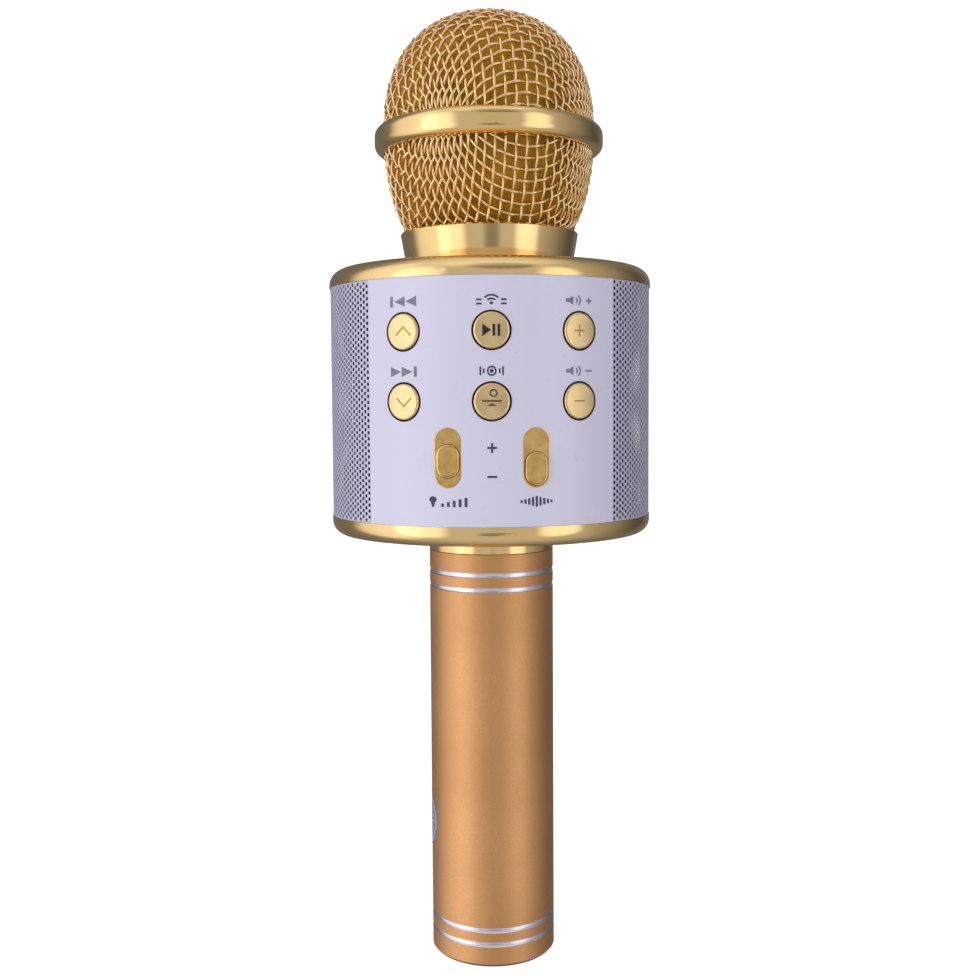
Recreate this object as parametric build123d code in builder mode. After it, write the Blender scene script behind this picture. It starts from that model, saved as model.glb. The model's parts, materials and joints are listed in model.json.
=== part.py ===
from build123d import *
import os
from math import asin, cos, radians, sin, sqrt

# A handheld karaoke microphone with a loudspeaker barrel. It stands upright on its handle:
# +Z runs up the handle's axis, the control panel faces -Y, and the origin is the centre of
# the handle's flat bottom. Lengths are millimetres.

os.makedirs("parts", exist_ok=True)


# ---------------------------------------------------------------- driving dimensions

# Handle
handle_radius = 16.3
handle_wall = 1.3
handle_top = 107.2
cap_lip = 0.5
cap_radius = 15.9
groove_heights = (5.98, 9.72, 98.0, 101.8)
groove_width = 1.2
groove_depth = 0.2
badge_radius = 7.65
badge_height = 35.0
badge_pocket_depth = 0.25
badge_gap = 0.1
badge_thickness = 0.22

# Loudspeaker barrel
barrel_radius = 41.5
lower_trim_radius = 41.5
upper_trim_radius = 41.6
barrel_floor = 111.7
barrel_top = 179.6
panel_bottom = 116.65
panel_top = 174.7
panel_wall = 1.8
panel_half_angle = 44.5
grille_radius = 41.35
grille_wall = 0.6
grille_half_angle = 44.8
lower_edge_radius = 3.6
upper_edge_radius = 4.0
cover_wall = 2.2
inner_radius = 38.6
inner_wall = 1.7
seam = 0.05

# Head
collar_foot_radius = 21.45
collar_brim_radius = 23.05
collar_top = 189.2
equator_height = 215.3
equator_radius = 27.04
dome_height = 29.56
dome_exponent = 2.31
bowl_depth = 38.28
bowl_exponent = 2.287
mesh_wall = 1.4
bowl_foot = 186.6
split_height = 212.4
ring_radius = 29.5
ring_bottom = 209.35
ring_top = 216.05
ring_edge_radius = 2.3
foam_gap = 0.3
foam_wall = 3.0

# Controls
button_radius = 4.22
button_gap = 0.43
button_proud = 0.6
button_travel = 0.5
side_column = 20.55
upper_row = 162.05
lower_row = 145.75
slider_column = 10.3
slider_height = 132.75
slide_travel = 5.2
window_width = 6.25
window_length = 14.0
knob_width = 5.55
knob_length = 8.0
left_knob_height = 131.95
right_knob_height = slider_height - slide_travel / 2

# Boards and loudspeakers
board_front = 25.6
board_wall = 1.6
board_half_width = 25.5
board_bottom = 121.5
board_top = 170.5
speaker_height = 145.6
speaker_radius = 20.0
port_board_bottom = 122.6

# Underside: sockets, power switch, indicator and screws
port_circle = 26.0
diagonal = port_circle * sin(radians(45))
usb_a_width = 13.1
usb_a_depth = 5.7
usb_a_place = (0, port_circle)
charge_width = 7.6
charge_depth = 2.9
charge_place = (-diagonal, diagonal)
jack_radius = 3.3
jack_bore = 1.8
jack_depth = 15.0
jack_place = (diagonal, diagonal)
switch_travel = 2.0
switch_place = (-port_circle, 0)
lever_length = 2.2
lever_width = 1.8
lever_slack = 0.8
indicator_radius = 1.0
indicator_place = (-port_circle * cos(radians(20)), port_circle * sin(radians(20)))
screw_circle = 34.0
screw_radius = 0.95
screw_head_radius = 1.9
screw_head_height = 0.85
screw_socket_radius = 0.9
screw_socket_depth = 0.5
mouth_gap = 0.15

tall = 400.0


# ---------------------------------------------------------------- helpers


def save(part, name):
    """Label a finished piece and write it as its own file."""
    part.label = name
    export_step(part, f"parts/{name}.step")


def turned(outline, axis=Axis.Z):
    """A solid of revolution whose half section has straight sides, given as (radius, height)."""
    with BuildPart() as solid:
        with BuildSketch(Plane.XZ):
            with BuildLine():
                Polyline(*outline, close=True)
            make_face()
        revolve(axis=axis)
    return solid.part


def tube(outer, inner, bottom, top):
    """A round tube on the handle's axis."""
    return turned([(inner, bottom), (outer, bottom), (outer, top), (inner, top)])


def depth_at(radius, x):
    """Distance in front of the axis at which a barrel surface of this radius passes over x."""
    return sqrt(radius**2 - x**2)


def ball_radius(height, inset=0.0):
    """Outer radius of the wire ball at a height: one superellipse above its equator, one below."""
    rise = height - equator_height
    if rise > 0:
        span, exponent = dome_height, dome_exponent
    else:
        span, exponent = bowl_depth, bowl_exponent
    reach = min(abs(rise) / (span - inset), 1.0)
    return (equator_radius - inset) * (1 - reach**exponent) ** (1 / exponent)


def dome_curve(inset, steps=10):
    """Points up the dome's section from the split to its crown, closer together at the crown."""
    crown = equator_height + dome_height - inset
    reach = crown - split_height
    heights = [split_height + reach * sin(radians(90 * i / steps)) for i in range(steps)]
    return [(ball_radius(height, inset), height) for height in heights] + [(0.0, crown)]


def bowl_curve(inset, foot, steps=5):
    """Points up the bowl's section from its foot to the split."""
    heights = [foot + (split_height - foot) * i / steps for i in range(steps + 1)]
    return [(ball_radius(height, inset), height) for height in heights]


def front_wedge(half_angle):
    """A triangle on the handle's axis that opens forwards by half_angle to each side."""
    reach = 2 * barrel_radius
    side = reach * sin(radians(half_angle))
    front = -reach * cos(radians(half_angle))
    return [(0, 0), (-side, front), (side, front)]


# ---------------------------------------------------------------- handle

with BuildPart() as badge_pocket:
    with BuildSketch(Plane.YZ):
        with Locations((0, badge_height)):
            Circle(badge_radius + badge_gap)
    extrude(amount=-2 * handle_radius)
    Cylinder(handle_radius - badge_pocket_depth, tall, mode=Mode.SUBTRACT)

with BuildPart() as handle_tube:
    add(tube(handle_radius, handle_radius - handle_wall, cap_lip, handle_top))
    for height in groove_heights:
        with BuildSketch(Plane.XY.offset(height - groove_width / 2)):
            Circle(2 * handle_radius)
            Circle(handle_radius - groove_depth, mode=Mode.SUBTRACT)
        extrude(amount=groove_width, mode=Mode.SUBTRACT)
    add(badge_pocket.part, mode=Mode.SUBTRACT)
save(handle_tube.part, "handle_tube")

with BuildPart() as badge:
    with BuildSketch(Plane.YZ):
        with Locations((0, badge_height)):
            Circle(badge_radius)
    extrude(amount=-2 * handle_radius)
    badge_seat = handle_radius - badge_pocket_depth
    Cylinder(badge_seat + badge_thickness, tall, mode=Mode.INTERSECT)
    Cylinder(badge_seat, tall, mode=Mode.SUBTRACT)
save(badge.part, "badge")

cap_plug_radius = handle_radius - handle_wall - seam
cap_plug_top = 7.0
cap_cup_radius = 12.5
cap_floor = 2.4
cap_chamfer = 0.3
save(
    turned(
        [
            (0, 0),
            (cap_radius - cap_chamfer, 0),
            (cap_radius, cap_chamfer),
            (cap_radius, cap_lip - seam),
            (cap_plug_radius, cap_lip - seam),
            (cap_plug_radius, cap_plug_top),
            (cap_cup_radius, cap_plug_top),
            (cap_cup_radius, cap_floor),
            (0, cap_floor),
        ]
    ),
    "end_cap",
)

# The neck tube joins the handle to the barrel: its flange sits on the barrel's floor.
neck_radius = 14.9
neck_bore = 12.4
neck_foot = 94.0
neck_flange_radius = 17.6
floor_top = barrel_floor + cover_wall
neck_flange_wall = 2.5
neck_flange_top = floor_top + neck_flange_wall
save(
    turned(
        [
            (neck_bore, neck_foot),
            (neck_radius, neck_foot),
            (neck_radius, floor_top + seam),
            (neck_flange_radius, floor_top + seam),
            (neck_flange_radius, neck_flange_top),
            (neck_bore, neck_flange_top),
        ]
    ),
    "neck_tube",
)
save(tube(handle_radius, neck_radius + seam, handle_top + seam, barrel_floor), "lower_collar")

# Battery: one 18650 cell held between foam rings, with a nickel tab on each end.
cell_radius = 9.2
cell_bottom = 15.0
cell_length = 65.0
cell_top = cell_bottom + cell_length
cell_edge = 0.8
with BuildPart() as battery_cell:
    with Locations((0, 0, cell_bottom)):
        Cylinder(cell_radius, cell_length, align=(Align.CENTER, Align.CENTER, Align.MIN))
    fillet(battery_cell.edges().filter_by(GeomType.CIRCLE), cell_edge)
save(battery_cell.part, "battery_cell")

pad_height = 9.0
pad_inset = 4.0
pad_bottoms = (cell_bottom + pad_inset, cell_top - pad_inset - pad_height)
with BuildPart() as battery_pads:
    for bottom in pad_bottoms:
        with BuildSketch(Plane.XY.offset(bottom)):
            Circle(handle_radius - handle_wall - seam)
            Circle(cell_radius + seam, mode=Mode.SUBTRACT)
        extrude(amount=pad_height)
save(battery_pads.part, "battery_pads")

tab_width = 6.0
tab_length = 14.0
tab_wall = 0.2
with BuildPart() as battery_tabs:
    for height in (cell_bottom - seam - tab_wall, cell_top + seam):
        with BuildSketch(Plane.XY.offset(height)):
            Rectangle(tab_width, tab_length)
        extrude(amount=tab_wall)
save(battery_tabs.part, "battery_tabs")

# ---------------------------------------------------------------- barrel covers

cover_lip_gap = 0.1
cover_lip_wall = 0.8
cover_lip_outer = barrel_radius - panel_wall - cover_lip_gap
cover_lip_inner = cover_lip_outer - cover_lip_wall
lip_reach = 1.6
neck_hole_radius = neck_radius + cover_lip_gap
screw_head_recess = 1.0
screw_head_base = barrel_floor + 0.1
screw_length = 7.0
with BuildPart() as bottom_cover:
    with BuildSketch(Plane.XZ):
        with BuildLine():
            Line((neck_hole_radius, barrel_floor), (lower_trim_radius - lower_edge_radius, barrel_floor))
            TangentArc(
                (lower_trim_radius - lower_edge_radius, barrel_floor),
                (lower_trim_radius, barrel_floor + lower_edge_radius),
                tangent=(1, 0),
            )
            Polyline(
                (lower_trim_radius, barrel_floor + lower_edge_radius),
                (lower_trim_radius, panel_bottom - seam),
                (cover_lip_outer, panel_bottom - seam),
                (cover_lip_outer, panel_bottom + lip_reach),
                (cover_lip_inner, panel_bottom + lip_reach),
                (cover_lip_inner, floor_top),
                (neck_hole_radius, floor_top),
                (neck_hole_radius, barrel_floor),
            )
        make_face()
    revolve(axis=Axis.Z)
    # Mouths in the floor for the sockets, the power switch, the indicator and the screws.
    with BuildSketch(Plane.XY.offset(barrel_floor)):
        with Locations(usb_a_place):
            Rectangle(usb_a_width + 2 * mouth_gap, usb_a_depth + 2 * mouth_gap)
        with Locations(charge_place):
            Rectangle(charge_width + 2 * mouth_gap, charge_depth + 2 * mouth_gap, rotation=45)
        with Locations(jack_place):
            Circle(jack_radius + mouth_gap)
        with Locations((switch_place[0], switch_place[1] + switch_travel / 2)):
            Rectangle(lever_width + lever_slack, lever_length + switch_travel + lever_slack)
        with Locations(indicator_place):
            Circle(indicator_radius + seam)
    extrude(amount=cover_wall, mode=Mode.SUBTRACT)
    screw_circle = 34.0
    screw_radius = 0.95
    screw_head_radius = 1.9
    with BuildSketch(Plane.XY.offset(barrel_floor)):
        with PolarLocations(screw_circle, 4, start_angle=45):
            Circle(screw_radius + mouth_gap)
    extrude(amount=cover_wall, mode=Mode.SUBTRACT)
    with BuildSketch(Plane.XY.offset(barrel_floor)):
        with PolarLocations(screw_circle, 4, start_angle=45):
            Circle(screw_head_radius + mouth_gap)
    extrude(amount=screw_head_recess, mode=Mode.SUBTRACT)
save(bottom_cover.part, "bottom_cover")

with BuildPart() as cover_screws:
    with BuildSketch(Plane.XY.offset(screw_head_base)):
        with PolarLocations(screw_circle, 4, start_angle=45):
            Circle(screw_head_radius)
    extrude(amount=screw_head_height)
    with BuildSketch(Plane.XY.offset(screw_head_base)):
        with PolarLocations(screw_circle, 4, start_angle=45):
            RegularPolygon(screw_socket_radius, 6)
    extrude(amount=screw_socket_depth, mode=Mode.SUBTRACT)
    with BuildSketch(Plane.XY.offset(screw_head_base + screw_head_height)):
        with PolarLocations(screw_circle, 4, start_angle=45):
            Circle(screw_radius)
    extrude(amount=screw_length)
save(cover_screws.part, "cover_screws")

ceiling = barrel_top - cover_wall
wire_bore = 6.0
with BuildPart() as top_cover:
    with BuildSketch(Plane.XZ):
        with BuildLine():
            Line((wire_bore, barrel_top), (upper_trim_radius - upper_edge_radius, barrel_top))
            TangentArc(
                (upper_trim_radius - upper_edge_radius, barrel_top),
                (upper_trim_radius, barrel_top - upper_edge_radius),
                tangent=(1, 0),
            )
            Polyline(
                (upper_trim_radius, barrel_top - upper_edge_radius),
                (upper_trim_radius, panel_top + seam),
                (cover_lip_outer, panel_top + seam),
                (cover_lip_outer, panel_top - lip_reach),
                (cover_lip_inner, panel_top - lip_reach),
                (cover_lip_inner, ceiling),
                (wire_bore, ceiling),
                (wire_bore, barrel_top),
            )
        make_face()
    revolve(axis=Axis.Z)
    mast_screw_circle = 12.5
    mast_screw_radius = 0.95
    with BuildSketch(Plane.XY.offset(ceiling)):
        with PolarLocations(mast_screw_circle, 3, start_angle=90):
            Circle(mast_screw_radius + seam)
    extrude(amount=cover_wall, mode=Mode.SUBTRACT)
save(top_cover.part, "top_cover")

# ---------------------------------------------------------------- inner barrel and speakers

inner_bore = inner_radius - inner_wall
baffle_face = 30.9
baffle_radius = 21.0
sound_hole_radius = 18.2
window_bottom = 120.0
window_top = 172.0
boss_radius = 3.2
boss_height = 7.4
window_half_angle = 42.0
window_start = 20.0
with BuildPart() as inner_barrel:
    add(tube(inner_radius, inner_bore, floor_top + seam, ceiling - seam))
    for side in (-1, 1):
        with BuildSketch(Plane.YZ.offset(side * baffle_face)):
            with Locations((0, speaker_height)):
                Circle(baffle_radius)
        extrude(amount=side * (inner_bore - baffle_face))
    with BuildSketch(Plane.XY.offset(floor_top + seam)):
        with PolarLocations(screw_circle, 4, start_angle=45):
            Circle(boss_radius)
    extrude(amount=boss_height)
    Cylinder(inner_radius, tall, mode=Mode.INTERSECT)
    with BuildSketch(Plane.YZ.offset(-barrel_radius)):
        with Locations((0, speaker_height)):
            Circle(sound_hole_radius)
    extrude(amount=2 * barrel_radius, mode=Mode.SUBTRACT)
    with BuildSketch(Plane.XZ.offset(window_start)):
        with Locations((0, (window_bottom + window_top) / 2)):
            Rectangle(2 * inner_radius * sin(radians(window_half_angle)), window_top - window_bottom)
    extrude(amount=barrel_radius, mode=Mode.SUBTRACT)
    with BuildSketch(Plane.XY.offset(floor_top + seam)):
        with PolarLocations(screw_circle, 4, start_angle=45):
            Circle(screw_radius + seam)
    extrude(amount=boss_height, mode=Mode.SUBTRACT)
save(inner_barrel.part, "inner_barrel")

flange_front = 30.3
flange_back = 29.0
basket_back = 18.3
basket_outline = [
    (flange_front, 17.0 + 0.4),
    (flange_front, speaker_radius),
    (flange_back, speaker_radius),
    (flange_back, 18.4),
    (basket_back, 12.2),
    (basket_back, 7.8),
    (basket_back + 1.2, 7.8),
    (basket_back + 1.2, 11.6),
    (flange_back, 17.4),
]
magnet_radius = 11.5
magnet_back = 10.3
coil_radius = 6.9
coil_wall = 0.3
coil_back = 14.0
gap_back = 12.6
magnet_outline = [
    (magnet_back, 0),
    (magnet_back, magnet_radius),
    (basket_back, magnet_radius),
    (basket_back, coil_radius + 0.5),
    (gap_back, coil_radius + 0.5),
    (gap_back, coil_radius - coil_wall - 0.5),
    (basket_back, coil_radius - coil_wall - 0.5),
    (basket_back, 0),
]
cone_front = 29.6
cone_radius = 16.4
cone_throat = 22.6
paper = 0.5
cone_outline = [
    (coil_back, coil_radius - coil_wall),
    (coil_back, coil_radius),
    (cone_throat, coil_radius),
    (cone_front, cone_radius),
    (cone_front + paper, cone_radius),
    (cone_front + paper, cone_radius - paper),
    (cone_throat + paper, coil_radius - coil_wall),
    (cone_throat + paper + 1.2, 3.0),
    (cone_throat + paper + 1.5, 0),
    (cone_throat + paper + 1.0, 0),
    (cone_throat + paper + 0.7, 3.0),
    (cone_throat, coil_radius - coil_wall),
]
surround_outline = [
    (flange_front, 16.8),
    (flange_front, sound_hole_radius - 0.1),
    (flange_front + 0.5, sound_hole_radius - 0.1),
    (flange_front + 1.3, 17.8),
    (flange_front + 1.3, 17.2),
    (flange_front + 0.5, 16.8),
]
gasket_outline = [
    (flange_front, sound_hole_radius + 0.1),
    (flange_front, speaker_radius),
    (baffle_face, speaker_radius),
    (baffle_face, sound_hole_radius + 0.1),
]
speaker_pieces = {
    "speaker_basket": basket_outline,
    "speaker_magnet": magnet_outline,
    "speaker_cone": cone_outline,
    "speaker_surround": surround_outline,
    "speaker_gasket": gasket_outline,
}
for side, hand in ((-1, "left"), (1, "right")):
    for piece, outline in speaker_pieces.items():
        # Outlines run (distance out from the middle, radius) about the speaker's own axis.
        with BuildPart() as speaker_part:
            with BuildSketch(Plane.XY.offset(speaker_height)):
                with BuildLine():
                    Polyline(*[(side * out, radius) for out, radius in outline], close=True)
                make_face()
            revolve(axis=Axis((0, 0, speaker_height), (1, 0, 0)))
        save(speaker_part.part, f"{hand}_{piece}")

# ---------------------------------------------------------------- front panel and grille

buttons = {
    "previous_button": (-side_column, upper_row),
    "next_button": (-side_column, lower_row),
    "play_button": (0.0, upper_row),
    "record_button": (0.0, lower_row),
    "volume_up_button": (side_column, upper_row),
    "volume_down_button": (side_column, lower_row),
}
sliders = {"left": (-slider_column, left_knob_height), "right": (slider_column, right_knob_height)}

with BuildPart() as front_panel:
    with BuildSketch(Plane.XY.offset(panel_bottom)):
        Circle(barrel_radius)
        Circle(barrel_radius - panel_wall, mode=Mode.SUBTRACT)
        with BuildLine():
            Polyline(*front_wedge(panel_half_angle), close=True)
        make_face(mode=Mode.INTERSECT)
    extrude(amount=panel_top - panel_bottom)
    for x, z in buttons.values():
        with BuildSketch(Plane.XZ.offset(board_front)):
            with Locations((x, z)):
                hole_radius = button_radius + button_gap
                Ellipse(hole_radius * depth_at(barrel_radius, x) / barrel_radius, hole_radius)
        extrude(amount=barrel_radius, mode=Mode.SUBTRACT)
    with BuildSketch(Plane.XZ.offset(board_front)):
        with Locations((-slider_column, slider_height), (slider_column, slider_height)):
            SlotOverall(window_length, window_width, rotation=90)
    extrude(amount=barrel_radius, mode=Mode.SUBTRACT)
save(front_panel.part, "front_panel")

with BuildPart() as speaker_grille:
    with BuildSketch(Plane.XY.offset(panel_bottom)):
        Circle(grille_radius)
        Circle(grille_radius - grille_wall, mode=Mode.SUBTRACT)
        with BuildLine():
            Polyline(*front_wedge(grille_half_angle), close=True)
        make_face(mode=Mode.SUBTRACT)
    extrude(amount=panel_top - panel_bottom)
save(speaker_grille.part, "speaker_grille")

# ---------------------------------------------------------------- boards

frame_wall = 2.0
frame_front = board_front - board_wall - seam
frame_half_width = 27.5
frame_bottom = 122.0
frame_top = 172.6
board_screw_x = 23.0
board_screw_rows = (124.5, 167.5)
board_screw_radius = 0.9
board_screw_gap = 0.15
board_screw_head_radius = 1.7
board_screw_head_height = 1.0
board_corner_radius = 1.0
board_screw_places = [(x, z) for x in (-board_screw_x, board_screw_x) for z in board_screw_rows]
with BuildPart() as board_frame:
    with BuildSketch(Plane.XZ.offset(frame_front - frame_wall)):
        with Locations((0, (frame_bottom + frame_top) / 2)):
            Rectangle(2 * frame_half_width, frame_top - frame_bottom)
    extrude(amount=frame_wall)
    with BuildSketch(Plane.XZ.offset(frame_front - frame_wall)):
        with Locations(*board_screw_places):
            Circle(board_screw_radius + seam)
    extrude(amount=frame_wall, mode=Mode.SUBTRACT)
save(board_frame.part, "board_frame")

with BuildPart() as main_board:
    with BuildSketch(Plane.XZ.offset(board_front - board_wall)):
        with Locations((0, (board_bottom + board_top) / 2)):
            RectangleRounded(2 * board_half_width, board_top - board_bottom, board_corner_radius)
        with Locations(*board_screw_places):
            Circle(board_screw_radius + board_screw_gap, mode=Mode.SUBTRACT)
    extrude(amount=board_wall)
save(main_board.part, "main_board")

with BuildPart() as board_screws:
    with BuildSketch(Plane.XZ.offset(frame_front - frame_wall)):
        with Locations(*board_screw_places):
            Circle(board_screw_radius)
    extrude(amount=frame_wall + board_wall + 2 * seam)
    with BuildSketch(Plane.XZ.offset(board_front + seam)):
        with Locations(*board_screw_places):
            Circle(board_screw_head_radius)
    extrude(amount=board_screw_head_height)
save(board_screws.part, "board_screws")

switch_size = 4.5
switch_height = 3.0
stem_radius = 1.4
stem_bore = 1.8
stem_seat = 0.8
with BuildPart() as tact_switches:
    for x, z in buttons.values():
        with BuildSketch(Plane.XZ.offset(board_front)):
            with Locations((x, z)):
                Rectangle(switch_size, switch_size)
        extrude(amount=switch_height)
        with BuildSketch(Plane.XZ.offset(board_front + stem_seat)):
            with Locations((x, z)):
                Circle(stem_bore)
        extrude(amount=switch_height, mode=Mode.SUBTRACT)
save(tact_switches.part, "tact_switches")

# Each slide potentiometer is a case on the board with a long slot for its slider's stem.
pot_width = 7.0
pot_length = 15.5
pot_height = 6.0
slide_stem_width = 1.4
slide_stem_length = 2.0
pot_slot_gap = 0.4
pot_slot_floor = 3.0
pot_slot_width = slide_stem_width + 2 * pot_slot_gap
pot_slot_length = slide_travel + slide_stem_length + 2 * pot_slot_gap
for hand, (x, knob_height) in sliders.items():
    with BuildPart() as slide_pot:
        with BuildSketch(Plane.XZ.offset(board_front)):
            with Locations((x, slider_height)):
                Rectangle(pot_width, pot_length)
        extrude(amount=pot_height)
        with BuildSketch(Plane.XZ.offset(board_front + pot_slot_floor)):
            with Locations((x, slider_height)):
                Rectangle(pot_slot_width, pot_slot_length)
        extrude(amount=pot_height, mode=Mode.SUBTRACT)
    save(slide_pot.part, f"{hand}_slide_pot")

port_board_wall = 1.6
port_board_radius = 36.5
port_board_bore = 18.2
port_board_front = 6.0
jack_hole_gap = 0.2
port_board_top = port_board_bottom + port_board_wall
with BuildPart() as port_board:
    with BuildSketch(Plane.XY.offset(port_board_bottom)):
        Circle(port_board_radius)
        Circle(port_board_bore, mode=Mode.SUBTRACT)
        with Locations((0, -barrel_radius - port_board_front)):
            Rectangle(2 * barrel_radius, 2 * barrel_radius, mode=Mode.SUBTRACT)
        with Locations(jack_place):
            Circle(jack_radius + jack_hole_gap, mode=Mode.SUBTRACT)
    extrude(amount=port_board_wall)
save(port_board.part, "port_board")

# ---------------------------------------------------------------- sockets and power switch

socket_mouth = barrel_floor + 0.3
socket_top = port_board_bottom - seam
shell_wall = 0.3
usb_a_back = 1.5
usb_a_tongue_width = 11.2
usb_a_tongue_wall = 1.8
usb_a_tongue_rise = 1.1
usb_a_tongue_recess = 1.2
with BuildPart() as usb_a_socket:
    with BuildSketch(Plane.XY.offset(socket_mouth)):
        with Locations(usb_a_place):
            Rectangle(usb_a_width, usb_a_depth)
            Rectangle(usb_a_width - 2 * shell_wall, usb_a_depth - 2 * shell_wall, mode=Mode.SUBTRACT)
    extrude(amount=socket_top - socket_mouth)
    with BuildSketch(Plane.XY.offset(socket_top - usb_a_back)):
        with Locations(usb_a_place):
            Rectangle(usb_a_width - shell_wall, usb_a_depth - shell_wall)
    extrude(amount=usb_a_back)
    with BuildSketch(Plane.XY.offset(socket_mouth + usb_a_tongue_recess)):
        with Locations((usb_a_place[0], usb_a_place[1] + usb_a_tongue_rise)):
            Rectangle(usb_a_tongue_width, usb_a_tongue_wall)
    extrude(amount=socket_top - socket_mouth - usb_a_back)
save(usb_a_socket.part, "usb_a_socket")

charge_depth_in = 5.0
charge_tongue_width = 5.2
charge_tongue_wall = 0.6
charge_tongue_recess = 0.8
charge_tongue_length = 4.4
with BuildPart() as charge_socket:
    with BuildSketch(Plane.XY.offset(socket_mouth)):
        with Locations(charge_place):
            Rectangle(charge_width, charge_depth, rotation=45)
            Rectangle(
                charge_width - 2 * shell_wall,
                charge_depth - 2 * shell_wall,
                rotation=45,
                mode=Mode.SUBTRACT,
            )
    extrude(amount=charge_depth_in)
    with BuildSketch(Plane.XY.offset(socket_mouth + charge_depth_in)):
        with Locations(charge_place):
            Rectangle(charge_width, charge_depth, rotation=45)
    extrude(amount=socket_top - socket_mouth - charge_depth_in)
    with BuildSketch(Plane.XY.offset(socket_mouth + charge_tongue_recess)):
        with Locations(charge_place):
            Rectangle(charge_tongue_width, charge_tongue_wall, rotation=45)
    extrude(amount=charge_tongue_length)
save(charge_socket.part, "charge_socket")

jack_back = 1.2
with BuildPart() as aux_jack:
    with BuildSketch(Plane.XY.offset(socket_mouth)):
        with Locations(jack_place):
            Circle(jack_radius)
    extrude(amount=jack_depth + jack_back)
    with BuildSketch(Plane.XY.offset(socket_mouth)):
        with Locations(jack_place):
            Circle(jack_bore)
    extrude(amount=jack_depth, mode=Mode.SUBTRACT)
save(aux_jack.part, "aux_jack")

switch_case_gap = 0.8
switch_case_width = 4.4
switch_case_length = 9.0
switch_slot_depth = 3.0
switch_case_bottom = floor_top + switch_case_gap
switch_middle = (switch_place[0], switch_place[1] + switch_travel / 2)
lever_proud = 0.8
lever_reach = 2.4
lever_tip = barrel_floor - lever_proud
rib_pitch = 0.55
rib_groove = 0.2
with BuildPart() as power_switch:
    with BuildSketch(Plane.XY.offset(switch_case_bottom)):
        with Locations(switch_middle):
            Rectangle(switch_case_width, switch_case_length)
    extrude(amount=socket_top - switch_case_bottom)
    with BuildSketch(Plane.XY.offset(switch_case_bottom)):
        with Locations(switch_middle):
            Rectangle(lever_width + lever_slack, lever_length + switch_travel + lever_slack)
    extrude(amount=switch_slot_depth, mode=Mode.SUBTRACT)
save(power_switch.part, "power_switch")

with BuildPart() as power_lever:
    with BuildSketch(Plane.XY.offset(lever_tip)):
        with Locations(switch_place):
            Rectangle(lever_width, lever_length)
    extrude(amount=switch_case_bottom + lever_reach - lever_tip)
    for offset in (-rib_pitch, 0.0, rib_pitch):
        with BuildSketch(Plane.XY.offset(lever_tip)):
            with Locations((switch_place[0], switch_place[1] + offset)):
                Rectangle(lever_width, rib_groove)
        extrude(amount=rib_groove, mode=Mode.SUBTRACT)
save(power_lever.part, "power_lever")

with BuildPart() as indicator_pipe:
    with BuildSketch(Plane.XY.offset(barrel_floor + seam)):
        with Locations(indicator_place):
            Circle(indicator_radius)
    extrude(amount=socket_top - barrel_floor - seam)
save(indicator_pipe.part, "indicator_pipe")

# ---------------------------------------------------------------- buttons and sliders

flange_outer = barrel_radius - panel_wall - cover_lip_gap
flange_inner = flange_outer - 1.4
flange_lip = 0.9
cap_wall_start = flange_inner + 0.5
cap_edge = 0.45
stem_rest_gap = 0.3
stem_root = flange_inner + 0.8
stem_tip = board_front + stem_seat + button_travel + stem_rest_gap
for name, (x, z) in buttons.items():
    squeeze = depth_at(barrel_radius, x) / barrel_radius
    with BuildPart() as button_flange:
        with BuildSketch(Plane.XZ.offset(board_front)):
            with Locations((x, z)):
                Ellipse(button_radius * squeeze + flange_lip, button_radius + flange_lip)
        extrude(amount=barrel_radius)
        Cylinder(flange_outer, tall * 2, mode=Mode.INTERSECT)
        Cylinder(flange_inner, tall * 2, mode=Mode.SUBTRACT)
    with BuildPart() as button:
        with BuildSketch(Plane.XZ.offset(board_front)):
            with Locations((x, z)):
                Ellipse(button_radius * squeeze, button_radius)
        extrude(amount=barrel_radius)
        Cylinder(barrel_radius + button_proud, tall * 2, mode=Mode.INTERSECT)
        Cylinder(cap_wall_start, tall * 2, mode=Mode.SUBTRACT)
        fillet(button.faces().sort_by(Axis.Y)[0].edges(), cap_edge)
        add(button_flange.part)
        with BuildSketch(Plane.XZ.offset(stem_tip)):
            with Locations((x, z)):
                Circle(stem_radius)
        extrude(amount=depth_at(stem_root, x) - stem_tip)
    save(button.part, name)

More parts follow.
